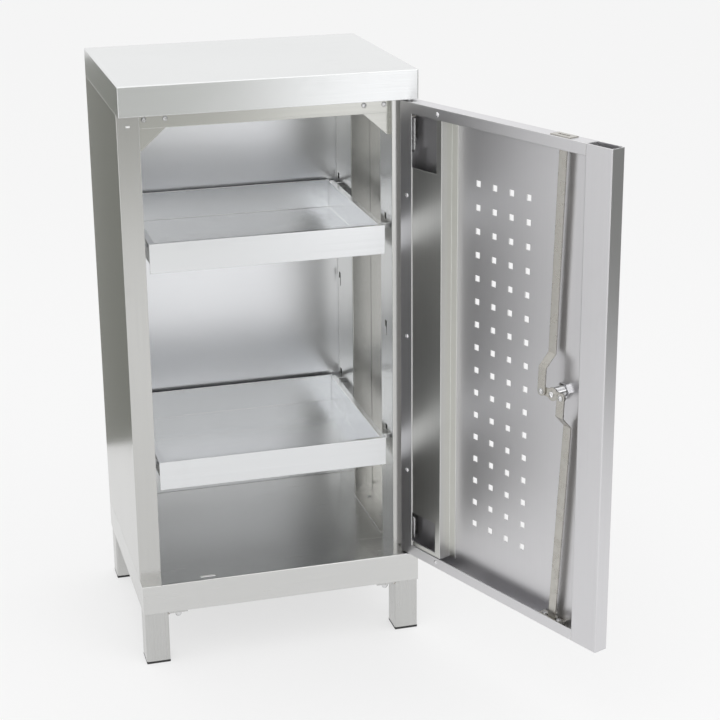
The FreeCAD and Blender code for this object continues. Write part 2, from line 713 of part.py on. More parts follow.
def tray(name, index):
    """Build a storage tray with the four hooks that hang it in the keyholes."""
    body = new_body(f"tray_{name}")
    middle = f"(keyhole_first + {index} * keyhole_pitch)"
    seat = f"({middle} - keyhole_height / 2)"
    top = f"({middle} - tray_drop)"
    bottom = f"({top} - tray_height)"
    half = f"({TRAY_HALF} - tray_fold)"
    path = [(f"{TRAY_FRONT} + tray_lip", top), (TRAY_FRONT, top), (TRAY_FRONT, bottom), (TRAY_BACK, bottom),
            (TRAY_BACK, f"{top} + tray_back_rise")]
    pad(body, "X", f"-{half}", half, folded(path, "tray_sheet"))
    pad(body, "Y", TRAY_FRONT, f"{TRAY_FRONT} + tray_sheet",
        rectangle(f"-{TRAY_HALF}", TRAY_HALF, bottom, top))
    for _, side in SIDES:
        low_side, high_side = across(side, f"{half} - tray_sheet", half)
        pad(body, "X", low_side, high_side, rectangle(TRAY_FRONT, TRAY_BACK, bottom, top))
        left, right = across(side, half, TRAY_HALF)
        pad(body, "Z", f"{top} - tray_sheet", top, rectangle(left, right, TRAY_FRONT, TRAY_BACK))
        past_web = f"{POST_FACE} + upright_sheet + hook_clearance"
        for place in (FRONT_KEYHOLE, REAR_KEYHOLE):
            pad(body, "Y", f"{place} - hook_thickness / 2", f"{place} + hook_thickness / 2",
                polygon((on_side(side, half), seat), (on_side(side, past_web), seat),
                        (on_side(side, past_web), f"{seat} - hook_lip"),
                        (on_side(side, f"{past_web} + hook_thickness"), f"{seat} - hook_lip"),
                        (on_side(side, f"{past_web} + hook_thickness"), f"{seat} + hook_height"),
                        (on_side(side, half), f"{seat} + hook_height")))
    return body


DOOR_PLACE = FreeCAD.Placement(FreeCAD.Vector(number(HINGE_X), number(HINGE_Y), 0),
                               FreeCAD.Rotation(FreeCAD.Vector(0, 0, 1), number("door_opening")))


def on_door(body):
    """Hang a piece that was drawn about the hinge axis where the door stands."""
    body.Placement = DOOR_PLACE
    body.setExpression("Placement.Base.x", linked(HINGE_X))
    body.setExpression("Placement.Base.y", linked(HINGE_Y))
    body.setExpression("Placement.Rotation.Angle", linked("door_opening"))
    return body


def rod_slot():
    """Return the slot that a rod slides and leans in, in the door's own frame."""
    return rectangle(f"-{GUIDE_PLACE} - {ROD_SLOT_HALF}", f"-{GUIDE_PLACE} + {ROD_SLOT_HALF}",
                     f"-{ROD_SLOT_DEPTH}", ROD_SLOT_DEPTH)


def door_pan():
    """Build the perforated door sheet with its folded edges and its band box."""
    body = new_body("door_pan")
    path = [("hinge_edge - hinge_flange", DOOR_INSIDE), ("hinge_edge", DOOR_INSIDE),
            ("hinge_edge", DOOR_OUTSIDE), (f"-{DOOR_FREE}", DOOR_OUTSIDE), (f"-{DOOR_FREE}", DOOR_INSIDE),
            (f"-{BAND_START}", DOOR_INSIDE)]
    pad(body, "Z", DOOR_BOTTOM, DOOR_TOP, folded(path, "door_sheet", left=False))
    wall = [(f"-{BAND_START}", DOOR_INSIDE), (f"-{BAND_START}", f"{SKIN_INSIDE} + door_sheet"),
            (f"-({BAND_START} - band_foot)", f"{SKIN_INSIDE} + door_sheet")]
    pad(body, "Z", DOOR_BOTTOM, DOOR_TOP, folded(wall, "door_sheet", left=False))
    round_along(body, "Z", "bend_radius", *path[1:])
    top = [(SKIN_INSIDE, DOOR_TOP), (DOOR_INSIDE, DOOR_TOP), (DOOR_INSIDE, f"{DOOR_TOP} - door_return")]
    pad(body, "X", f"-{BAND_START}", "hinge_edge - door_sheet", folded(top, "door_sheet", left=False))
    low = [(SKIN_INSIDE, DOOR_BOTTOM), (DOOR_INSIDE, DOOR_BOTTOM), (DOOR_INSIDE, f"{DOOR_BOTTOM} + door_return")]
    pad(body, "X", f"-{BAND_START}", "hinge_edge - door_sheet", folded(low, "door_sheet", left=True))
    pocket(body, "Z", DOOR_BOTTOM, f"{DOOR_BOTTOM} + door_sheet", circle("0", "0", PIN_HOLE), rod_slot())
    pocket(body, "Z", f"{DOOR_TOP} - door_sheet", DOOR_TOP, circle("0", "0", PIN_HOLE), rod_slot())
    pocket(body, "Y", DOOR_OUTSIDE, f"{SKIN_INSIDE} + door_sheet",
           circle(f"-{LOCK_PLACE}", "lock_height", "lock_body"))
    rivet_holes = [circle("-door_rivet_offset", level, "rivet_diameter") for level in RIVET_LEVELS]
    rivet_holes += [circle("-end_rivet_offset", level, "rivet_diameter") for level in END_RIVET_LEVELS]
    pocket(body, "Y", RETURN_INSIDE, DOOR_INSIDE, *rivet_holes)
    half = "hole_size / 2"
    hole = pocket(body, "Y", DOOR_OUTSIDE, SKIN_INSIDE,
                  rectangle(f"{HOLE_COLUMN} - {half}", f"{HOLE_COLUMN} + {half}",
                            f"{HOLE_ROW} - {half}", f"{HOLE_ROW} + {half}"))
    repeat(body, hole, [("H_Axis", "hole_pitch", "hole_columns"), ("V_Axis", "hole_pitch", "hole_rows")])
    return on_door(body)


def hinge_stiffener():
    """Build the hat section behind the hinge edge, with its two windows."""
    body = new_body("hinge_stiffener")
    path = [("hinge_edge - door_sheet", RETURN_INSIDE), (HAT_EDGE, RETURN_INSIDE),
            (HAT_EDGE, f"{SKIN_INSIDE} + door_sheet"), (f"{HAT_EDGE} - hat_foot", f"{SKIN_INSIDE} + door_sheet")]
    pad(body, "Z", HAT_BOTTOM, f"{DOOR_TOP} - door_sheet", folded(path, "door_sheet"))
    upper = rectangle("-window_end", "-window_start", *UPPER_WINDOW)
    lower = rectangle("-window_end", "-window_start", *LOWER_WINDOW)
    rivet_holes = [circle("-door_rivet_offset", level, "rivet_diameter") for level in RIVET_LEVELS]
    rivet_holes.append(circle("-end_rivet_offset", END_RIVET_LEVELS[1], "rivet_diameter"))
    pocket(body, "Y", f"{RETURN_INSIDE} - door_sheet", RETURN_INSIDE, upper, lower, *rivet_holes)
    return on_door(body)


def door_rivets():
    """Build the rivets of the hinge flange and of the two end returns."""
    body = new_body("door_rivets")
    body.AllowCompound = True
    places = [("-door_rivet_offset", level) for level in RIVET_LEVELS]
    places += [("-end_rivet_offset", level) for level in END_RIVET_LEVELS]
    for place in places:
        pad(body, "Y", f"{RETURN_INSIDE} - door_sheet", DOOR_INSIDE, circle(*place, "rivet_diameter"))
        pad(body, "Y", DOOR_INSIDE, f"{DOOR_INSIDE} + rivet_head_height", circle(*place, "rivet_head"))
    return on_door(body)


def pin_bracket(name, low, high):
    """Build the bracket with two ears that carries a pivot pin."""
    body = new_body(f"pin_bracket_{name}")
    wall = "(hinge_edge - door_sheet)"
    path = [(f"{wall} - bracket_reach", high), (wall, high), (wall, low), (f"{wall} - bracket_reach", low)]
    pad(body, "Y", "-bracket_width / 2", "bracket_width / 2", folded(path, "bracket_sheet", left=False))
    pocket(body, "Z", low, high, circle("0", "0", PIN_HOLE))
    return on_door(body)


def hinge_pin(name, end, tip, turn, rise):
    """Build a pivot pin: a round rod that turns back on itself as a finger."""
    body = new_body(f"hinge_pin_{name}")
    finger = f"({turn} + {rise})" if end > 0 else f"({turn} - {rise})"
    pad(body, "Z", *in_order(tip, turn), circle("0", "0", "pin_diameter"))
    sketch = draw_on(body, "XY_Plane", turn, [circle("0", "0", "pin_diameter")])
    line = Part.LineSegment(FreeCAD.Vector(0, 0, 0), FreeCAD.Vector(0, number("pin_diameter"), 0))
    axis = sketch.addGeometry(line, True)
    sketch.addConstraint(Sketcher.Constraint("Vertical", axis))
    hold(sketch, "DistanceX", axis, 1, "-pin_finger_offset / 2")
    hold(sketch, "DistanceY", axis, 1, "0")
    hold(sketch, "DistanceY", axis, 2, "pin_diameter")
    bend = body.newObject("PartDesign::Revolution", "Bend")
    bend.Profile = sketch
    bend.ReferenceAxis = (sketch, ["Axis0"])
    bend.Angle = 180
    bend.Reversed = end < 0
    pad(body, "Z", *in_order(turn, finger), circle("-pin_finger_offset", "0", "pin_diameter"))
    return on_door(body)


def in_order(one, other):
    """Return two levels with the lower one first."""
    return (one, other) if number(one) < number(other) else (other, one)


def lock_housing():
    """Build the lock's housing with its outer collar."""
    body = new_body("lock_housing")
    place = f"-{LOCK_PLACE}", "lock_height"
    bore = circle(*place, "lock_plug + 2 * lock_fit")
    pad(body, "Y", f"{DOOR_OUTSIDE} - lock_collar_height", DOOR_OUTSIDE, circle(*place, "lock_collar"), bore)
    pad(body, "Y", DOOR_OUTSIDE, HOUSING_END, circle(*place, "lock_body"), bore)
    return on_door(body)


def lock_nut():
    """Build the six-sided nut that clamps the housing on the door."""
    body = new_body("lock_nut")
    corners = [(f"lock_nut / 2 * cos({60 * index}) / cos(30) - {LOCK_PLACE}",
                f"lock_nut / 2 * sin({60 * index}) / cos(30) + lock_height") for index in range(6)]
    seat = f"({SKIN_INSIDE} + door_sheet)"
    pad(body, "Y", seat, f"{seat} + lock_nut_height", polygon(*corners),
        circle(f"-{LOCK_PLACE}", "lock_height", "lock_body"))
    return on_door(body)


def lock_plug():
    """Build the plug that turns in the housing and carries the cam."""
    body = new_body("lock_plug")
    pad(body, "Y", f"{DOOR_OUTSIDE} - lock_collar_height", "cam_level",
        circle(f"-{LOCK_PLACE}", "lock_height", "lock_plug"))
    pocket(body, "Y", "cam_level - cam_screw_depth", "cam_level", circle(f"-{LOCK_PLACE}", "lock_height", "rod_bolt"))
    return on_door(body)


def lock_cam():
    """Build the cam with its hub and its two arms."""
    body = new_body("lock_cam")
    pad(body, "Y", "cam_level", CAM_TOP, circle(f"-{LOCK_PLACE}", "lock_height", "cam_hub"))
    pad(body, "Y", "cam_level", CAM_TOP,
        rectangle(f"-{LOCK_PLACE} - cam_arm", f"-{LOCK_PLACE} + cam_arm",
                  "lock_height - cam_end / 2", "lock_height + cam_end / 2"))
    for _, side in ARMS:
        place = f"-{LOCK_PLACE} + {side} * cam_arm", "lock_height"
        pad(body, "Y", "cam_level", CAM_TOP, circle(*place, "cam_end"))
        pocket(body, "Y", "cam_level", CAM_TOP, circle(*place, "rod_bolt"))
    pocket(body, "Y", "cam_level", CAM_TOP, circle(f"-{LOCK_PLACE}", "lock_height", "rod_bolt"))
    return on_door(body)


def cam_screw():
    """Build the screw that holds the cam on the plug."""
    body = new_body("cam_screw")
    place = f"-{LOCK_PLACE}", "lock_height"
    pad(body, "Y", "cam_level - cam_screw_depth", CAM_TOP, circle(*place, "rod_bolt"))
    pad(body, "Y", CAM_TOP, f"{CAM_TOP} + rod_bolt_head_height", circle(*place, "rod_bolt_head"))
    return on_door(body)


def rod_bolts():
    """Build the two bolts that the rods turn on."""
    body = new_body("rod_bolts")
    body.AllowCompound = True
    for _, side in ARMS:
        place = f"-{LOCK_PLACE} + {side} * cam_arm", "lock_height"
        pad(body, "Y", "cam_level", f"{ROD_TOP} + rod_gap", circle(*place, "rod_bolt"))
        pad(body, "Y", f"{ROD_TOP} + rod_gap", f"{ROD_TOP} + rod_gap + rod_bolt_head_height",
            circle(*place, "rod_bolt_head"))
    return on_door(body)


def rod(name, side, bend, end_level):
    """Build a flat locking rod with its joggle, drawn upright from its bolt."""
    body = new_body(f"{name}_rod")
    pivot = number(f"{LOCK_PLACE} - {side} * cam_arm")
    run = number(GUIDE_PLACE) - pivot
    reach = number(end_level) - number("lock_height")
    tilt = -math.degrees(math.atan(abs(run / reach)))
    length = f"(({end_level} - lock_height) / cos({tilt:.4f}))"
    low = f"{side} * {bend}"
    high = f"{side} * ({bend} + rod_bend_rise)"
    eye = f"-{side} * rod_width / 2"
    half = "rod_sheet / 2"
    pad(body, "X", "-rod_width / 2", "rod_width / 2",
        polygon((ROD_LEVEL, eye), (ROD_TOP, eye), (ROD_TOP, low), (half, high), (half, length),
                (f"-{half}", length), (f"-{half}", high), (ROD_LEVEL, low)))
    round_edges(body, "rod_width / 2 - rod_eye_land",
                lambda start, end: near(start.z, eye) and near(end.z, eye)
                and abs(start.x - end.x) < TOUCH < abs(start.y - end.y))
    pocket(body, "Y", ROD_LEVEL, ROD_TOP, circle("0", "0", "rod_bolt + 2 * rod_fit"))
    place = FreeCAD.Placement(FreeCAD.Vector(-pivot, 0, number("lock_height")),
                              FreeCAD.Rotation(FreeCAD.Vector(0, 1, 0), tilt))
    body.Placement = DOOR_PLACE.multiply(place)
    return body


def rod_guide_upper():
    """Build the slotted plate on the door's top that guides the upper rod."""
    body = new_body("rod_guide_upper")
    pad(body, "Z", DOOR_TOP, f"{DOOR_TOP} + guide_top_sheet",
        rectangle(f"-{GUIDE_PLACE} - guide_top_width / 2", f"-{GUIDE_PLACE} + guide_top_width / 2",
                  "-guide_top_depth / 2", "guide_top_depth / 2"), rod_slot())
    return on_door(body)


def rod_guide_lower():
    """Build the slotted bridge on the door's bottom that guides the lower rod."""
    body = new_body("rod_guide_lower")
    floor = f"({DOOR_BOTTOM} + door_sheet)"
    top = f"({floor} + guide_bottom_height)"
    left = f"-{GUIDE_PLACE} - guide_bottom_width / 2"
    right = f"-{GUIDE_PLACE} + guide_bottom_width / 2"
    path = [(left, floor), (left, top), (right, top), (right, floor)]
    pad(body, "Y", "-guide_bottom_depth / 2", "guide_bottom_depth / 2", folded(path, "guide_sheet", left=False))
    holes = [circle(f"-{GUIDE_PLACE} + {side} * guide_screw_offset", "0", "rivet_diameter") for _, side in SIDES]
    pocket(body, "Z", f"{top} - guide_sheet", top, rod_slot(), *holes)
    return on_door(body)


def guide_screws():
    """Build the two screws of the lower guide."""
    body = new_body("guide_screws")
    body.AllowCompound = True
    floor = f"({DOOR_BOTTOM} + door_sheet)"
    top = f"({floor} + guide_bottom_height)"
    for _, side in SIDES:
        place = f"-{GUIDE_PLACE} + {side} * guide_screw_offset", "0"
        pad(body, "Z", floor, top, circle(*place, "rivet_diameter"))
        pad(body, "Z", top, f"{top} + rivet_head_height", circle(*place, "rivet_head"))
    return on_door(body)


pieces = [top_cover(), roof_panel(), base_pan(), leg_bolts(), back_panel(), front_rail(), rail_screws(),
          floor_rivets(), door_buffer()]
for corner in CORNERS:
    pieces.append(leg(*corner))
    pieces.append(foot(*corner))
for name, side in SIDES:
    pieces.append(side_panel(name, side))
    pieces.append(upright(f"front_{name}", side, FRONT_UPRIGHT_START, FRONT_UPRIGHT_END, FRONT_KEYHOLE))
    pieces.append(upright(f"back_{name}", side, REAR_UPRIGHT_START, UPRIGHT_BACK, REAR_KEYHOLE))
    pieces.append(gusset(name, side))
pieces += [tray("lower", "0"), tray("upper", "(keyhole_count - 1)"), door_pan(), hinge_stiffener(), door_rivets(),
           pin_bracket("upper", *UPPER_EARS), pin_bracket("lower", *LOWER_EARS),
           hinge_pin("upper", 1, f"({BODY_TOP} + pin_reach)", f"({UPPER_EARS[0]} - upper_pin_tail)", "finger_rise_upper"),
           hinge_pin("lower", -1, f"({FLOOR} - pin_reach)", f"({LOWER_EARS[1]} + lower_pin_tail)", "finger_rise_lower"),
           lock_housing(), lock_nut(), lock_plug(), lock_cam(), cam_screw(), rod_bolts(),
           rod("upper", 1, "rod_upper_bend", f"({BODY_TOP} - rod_end_gap)"),
           rod("lower", -1, "rod_lower_bend", f"({FLOOR} + rod_end_gap)"),
           rod_guide_upper(), rod_guide_lower(), guide_screws()]
doc.recompute()

for item in doc.Objects:
    if "Invalid" in item.State or "Error" in item.State:
        raise ValueError(f"{item.Label} could not be built: {item.State}")
os.makedirs("parts", exist_ok=True)
for piece in pieces:
    if piece.Shape.isNull() or not piece.Shape.isValid():
        raise ValueError(f"{piece.Label} has no sound shape")
    piece.Shape.exportStep(f"parts/{piece.Label}.step")
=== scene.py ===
"""Looks of a stainless steel storage cabinet whose perforated door stands open.

Every length is in metres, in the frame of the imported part: the origin on the floor midway
between the legs, X to the right, Y to the back, Z up.
"""
import logging
import math
from dataclasses import dataclass
from enum import Enum

import bmesh
import bpy
from mathutils import Matrix, Vector


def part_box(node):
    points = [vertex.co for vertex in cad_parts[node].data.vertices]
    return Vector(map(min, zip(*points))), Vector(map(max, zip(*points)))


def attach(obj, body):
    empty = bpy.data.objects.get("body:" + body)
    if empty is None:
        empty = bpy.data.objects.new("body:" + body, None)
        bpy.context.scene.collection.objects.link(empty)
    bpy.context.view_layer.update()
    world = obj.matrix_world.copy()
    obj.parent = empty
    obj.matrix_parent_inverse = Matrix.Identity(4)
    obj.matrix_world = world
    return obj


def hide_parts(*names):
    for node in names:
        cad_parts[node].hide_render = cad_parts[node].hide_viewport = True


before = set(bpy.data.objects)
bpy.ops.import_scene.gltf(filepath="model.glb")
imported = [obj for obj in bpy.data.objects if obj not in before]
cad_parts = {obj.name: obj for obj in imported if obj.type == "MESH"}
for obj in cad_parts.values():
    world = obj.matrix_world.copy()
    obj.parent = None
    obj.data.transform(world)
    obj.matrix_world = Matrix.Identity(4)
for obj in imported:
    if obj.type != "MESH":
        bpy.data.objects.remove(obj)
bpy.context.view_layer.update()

LOG = logging.getLogger("storage_cabinet")
Colour = tuple[float, float, float]
Place = tuple[float, float, float]
Outline = list[tuple[float, float]]
Group = bpy.types.ShaderNodeTree
Material = bpy.types.Material
Node = bpy.types.Node
Socket = bpy.types.NodeSocket
Tree = bpy.types.NodeTree

SIGNS = (-1, 1)
CORNERS = {"front_left": (-1, -1), "front_right": (1, -1), "back_left": (-1, 1), "back_right": (1, 1)}
WHITE = (1.0, 1.0, 1.0, 1.0)


class Brushing(Enum):
    """Direction in which a sheet was brushed, as the scale of its grain along each axis."""

    ALONG_X = (7.0, 900.0, 900.0)
    ALONG_Z = (900.0, 900.0, 7.0)


class Facing(Enum):
    """Direction that the head of a fastener faces, as a turn about X in degrees."""

    UP = 0.0
    DOWN = 180.0
    FRONT = 90.0
    BACK = -90.0

    def turn(self) -> Matrix:
        """Return the rotation that points +Z this way."""
        return Matrix.Rotation(math.radians(self.value), 4, "X")


def new_group(name: str, inputs: dict[str, object], outputs: dict[str, str]) -> Group:
    """Make an empty shader node group.

    Args:
        name: the group's name.
        inputs: default value of each input; its type gives the socket's type.
        outputs: socket type of each output.

    Returns:
        The group, with its Group Input and Group Output nodes named "in" and "out".
    """
    group = bpy.data.node_groups.new(name, "ShaderNodeTree")
    for label, value in inputs.items():
        kind = {float: "NodeSocketFloat", tuple: "NodeSocketColor", type(None): "NodeSocketVector"}[type(value)]
        socket = group.interface.new_socket(name=label, in_out="INPUT", socket_type=kind)
        if isinstance(value, float):
            socket.default_value = value
        elif isinstance(value, tuple):
            socket.default_value = (*value, 1.0)
    for label, kind in outputs.items():
        group.interface.new_socket(name=label, in_out="OUTPUT", socket_type=kind)
    group.nodes.new("NodeGroupInput").name = "in"
    group.nodes.new("NodeGroupOutput").name = "out"
    return group


def noise(tree: Tree, vector: Socket, scale: float, detail: float) -> Socket:
    """Add a noise texture to a tree.

    Args:
        tree: the tree that gets the node.
        vector: the coordinates that it reads.
        scale: how many features there are in a unit.
        detail: how many finer layers it adds.

    Returns:
        The noise's value socket.
    """
    node = tree.nodes.new("ShaderNodeTexNoise")
    node.inputs["Scale"].default_value = scale
    node.inputs["Detail"].default_value = detail
    tree.links.new(vector, node.inputs["Vector"])
    return node.outputs["Fac"]


def spread(tree: Tree, value: Socket, low: float, high: float,
           start: float = 0.0, end: float = 1.0) -> Socket:
    """Stretch a value from one range to another, held at the ends.

    Args:
        tree: the tree that gets the node.
        value: the value that is stretched.
        low: where the range of the value begins.
        high: where the range of the value ends.
        start: what low becomes.
        end: what high becomes.

    Returns:
        The stretched value's socket.
    """
    node = tree.nodes.new("ShaderNodeMapRange")
    for label, number in (("From Min", low), ("From Max", high), ("To Min", start), ("To Max", end)):
        node.inputs[label].default_value = number
    tree.links.new(value, node.inputs["Value"])
    return node.outputs["Result"]


def calculate(tree: Tree, operation: str, first: Socket | float, second: Socket | float) -> Socket:
    """Add a Math node.

    Args:
        tree: the tree that gets the node.
        operation: Blender's name of the sum.
        first: a socket or a number.
        second: a socket or a number.

    Returns:
        The result's socket.
    """
    node = tree.nodes.new("ShaderNodeMath")
    node.operation = operation
    for index, value in enumerate((first, second)):
        if isinstance(value, Socket):
            tree.links.new(value, node.inputs[index])
        else:
            node.inputs[index].default_value = value
    return node.outputs[0]


def blend_colours(tree: Tree, factor: Socket, first: Socket, second: Socket | Colour) -> Socket:
    """Mix two colours.

    Args:
        tree: the tree that gets the node.
        factor: how much of the second colour shows.
        first: the first colour's socket.
        second: the second colour, or its socket.

    Returns:
        The mixed colour's socket.
    """
    node = tree.nodes.new("ShaderNodeMix")
    node.data_type = "RGBA"
    tree.links.new(factor, node.inputs[0])
    tree.links.new(first, node.inputs[6])
    if isinstance(second, Socket):
        tree.links.new(second, node.inputs[7])
    else:
        node.inputs[7].default_value = (*second, 1.0)
    return node.outputs[2]


def show(name: str, data: bpy.types.ID) -> bpy.types.Object:
    """Put data in the scene as an object of this name."""
    piece = bpy.data.objects.new(name, data)
    bpy.context.scene.collection.objects.link(piece)
    return piece


def make_grain_group() -> Group:
    """Make the group for brushed sheet: fine streaks, broader streaks and soft cloudy patches.

    Returns:
        A group with the outputs Color, Roughness and Height.
    """
    group = new_group(
        "brushed_sheet_grain",
        {"Grain": None, "Place": None, "Light": (0.7, 0.7, 0.7), "Dark": (0.5, 0.5, 0.5),
         "Clouding": 0.4, "Roughness": 0.3, "Spread": 0.1},
        {"Color": "NodeSocketColor", "Roughness": "NodeSocketFloat", "Height": "NodeSocketFloat"})
    given, result = group.nodes["in"].outputs, group.nodes["out"].inputs
    fine = noise(group, given["Grain"], scale=1.0, detail=3.0)
    broad = noise(group, given["Grain"], scale=0.31, detail=2.0)
    cloud = noise(group, given["Place"], scale=2.3, detail=1.0)
    fine_share, broad_share = 0.7, 0.3
    streaks = calculate(group, "ADD", calculate(group, "MULTIPLY", fine, fine_share),
                        calculate(group, "MULTIPLY", broad, broad_share))
    streaks = spread(group, streaks, low=0.3, high=0.7)
    cloud = spread(group, cloud, low=0.32, high=0.68)
    shade = calculate(group, "MULTIPLY", cloud, given["Clouding"])
    left = calculate(group, "SUBTRACT", 1.0, given["Clouding"])
    shade = calculate(group, "ADD", shade, calculate(group, "MULTIPLY", streaks, left))
    group.links.new(blend_colours(group, shade, given["Dark"], given["Light"]), result["Color"])
    rough = calculate(group, "MULTIPLY", calculate(group, "SUBTRACT", 0.5, streaks), given["Spread"])
    group.links.new(calculate(group, "ADD", rough, given["Roughness"]), result["Roughness"])
    group.links.new(streaks, result["Height"])
    return group


def make_handling_group() -> Group:
    """Make the group for handling marks: faint smears that dull a surface in patches.

    Returns:
        A group with the outputs Color and Roughness, made from a colour and a roughness.
    """
    group = new_group("handling_marks",
                      {"Place": None, "Color": (0.7, 0.7, 0.7), "Smear": (0.6, 0.6, 0.58),
                       "Roughness": 0.3, "Amount": 0.3},
                      {"Color": "NodeSocketColor", "Roughness": "NodeSocketFloat"})
    given, result = group.nodes["in"].outputs, group.nodes["out"].inputs
    patches = spread(group, noise(group, given["Place"], scale=11.0, detail=3.0), low=0.5, high=0.68)
    prints = spread(group, noise(group, given["Place"], scale=47.0, detail=4.0), low=0.45, high=0.62)
    mask = calculate(group, "MULTIPLY", calculate(group, "MULTIPLY", patches, prints), given["Amount"])
    group.links.new(blend_colours(group, mask, given["Color"], given["Smear"]), result["Color"])
    painted_shade_and_dulling = 0.18
    added = calculate(group, "MULTIPLY", mask, painted_shade_and_dulling)
    group.links.new(calculate(group, "ADD", given["Roughness"], added), result["Roughness"])
    return group


def make_pitting_group() -> Group:
    """Make the group for small cast, moulded or plated faces: fine speckle and slow tone change.

    Returns:
        A group with the outputs Color, Roughness and Height.
    """
    group = new_group("speckled_face",
                      {"Place": None, "Light": (0.7, 0.7, 0.7), "Dark": (0.5, 0.5, 0.5),
                       "Roughness": 0.3, "Spread": 0.1},
                      {"Color": "NodeSocketColor", "Roughness": "NodeSocketFloat", "Height": "NodeSocketFloat"})
    given, result = group.nodes["in"].outputs, group.nodes["out"].inputs
    speckle = noise(group, given["Place"], scale=900.0, detail=3.0)
    tone = spread(group, noise(group, given["Place"], scale=60.0, detail=2.0), low=0.35, high=0.65)
    group.links.new(blend_colours(group, tone, given["Dark"], given["Light"]), result["Color"])
    rough = calculate(group, "MULTIPLY", calculate(group, "SUBTRACT", tone, 0.5), given["Spread"])
    group.links.new(calculate(group, "ADD", rough, given["Roughness"]), result["Roughness"])
    group.links.new(speckle, result["Height"])
    return group


def make_edge_highlight_group() -> Group:
    """Make the group for the painted edge highlight: bends and edges painted bright, as if they caught the light.

    Returns:
        A group with the output Color, made from a colour and the normal of the rounded surface.
    """
    group = new_group("painted_edge_highlight",
                      {"Rounded": None, "Color": (0.7, 0.7, 0.7), "Highlight": (0.97, 0.97, 0.96), "Amount": 0.5},
                      {"Color": "NodeSocketColor"})
    given, result = group.nodes["in"].outputs, group.nodes["out"].inputs
    geometry = group.nodes.new("ShaderNodeNewGeometry")
    compare = group.nodes.new("ShaderNodeVectorMath")
    compare.operation = "DOT_PRODUCT"
    group.links.new(given["Rounded"], compare.inputs[0])
    group.links.new(geometry.outputs["Normal"], compare.inputs[1])
    turned = calculate(group, "SUBTRACT", 1.0, compare.outputs["Value"])
    # Painted highlight: where the rounded normal turns away from the true normal, the colour is blended towards a
    # bright one.
    mask = calculate(group, "MULTIPLY", spread(group, turned, low=0.03, high=0.2), given["Amount"])
    group.links.new(blend_colours(group, mask, given["Color"], given["Highlight"]), result["Color"])
    return group


GRAIN = make_grain_group()
HANDLING = make_handling_group()
PITTING = make_pitting_group()
EDGE_HIGHLIGHT = make_edge_highlight_group()


@dataclass(frozen=True)
class Finish:
    """Common parts of every finish.

    Attributes:
        name: the material's name.
        light: colour of the lighter places.
        dark: colour of the darker places.
        roughness: mean roughness.
        vary: how far the roughness varies.
        relief: height of the grain in metres.
        edge: radius that edges catch the light with.
    """

    name: str
    light: Colour
    dark: Colour
    roughness: float = 0.3
    vary: float = 0.1
    relief: float = 0.00002
    edge: float = 0.0009

    def start(self) -> tuple[Material, Node, Socket]:
        """Return a new material, its Principled shader and its Object coordinates."""
        material = bpy.data.materials.new(self.name)
        material.use_nodes = True
        nodes = material.node_tree.nodes
        material.diffuse_color = (*self.light, 1.0)
        return material, nodes["Principled BSDF"], nodes.new("ShaderNodeTexCoord").outputs["Object"]

    def place_group(self, tree: Tree, group: Group, links: dict[str, Socket],
                    values: dict[str, Colour | float]) -> Node:
        """Put a shared group in a material.

        Args:
            tree: the node tree of the material that gets the group.
            group: the shared node group.
            links: socket that feeds each linked input.
            values: value of each plain input.

        Returns:
            The group's node.
        """
        node = tree.nodes.new("ShaderNodeGroup")
        node.node_tree = group
        for label, socket in links.items():
            tree.links.new(socket, node.inputs[label])
        for label, value in values.items():
            node.inputs[label].default_value = (*value, 1.0) if isinstance(value, tuple) else value
        return node

    def rounded(self, tree: Tree) -> Socket:
        """Return the normal of the surface with its edges rounded."""
        node = tree.nodes.new("ShaderNodeBevel")
        node.samples = 6
        node.inputs["Radius"].default_value = self.edge
        return node.outputs["Normal"]

    def add_relief(self, tree: Tree, shader: Node, height: Socket, normal: Socket | None) -> None:
        """Raise the surface by a height.

        Args:
            tree: the material's node tree.
            shader: its Principled shader.
            height: socket of the height, from 0 to 1.
            normal: normal of the rounded surface, or None where the edges stay sharp.
        """
        bump = tree.nodes.new("ShaderNodeBump")
        bump.inputs["Distance"].default_value = self.relief
        bump.inputs["Strength"].default_value = 1.0
        tree.links.new(height, bump.inputs["Height"])
        if normal is not None:
            tree.links.new(normal, bump.inputs["Normal"])
        tree.links.new(bump.outputs["Normal"], shader.inputs["Normal"])


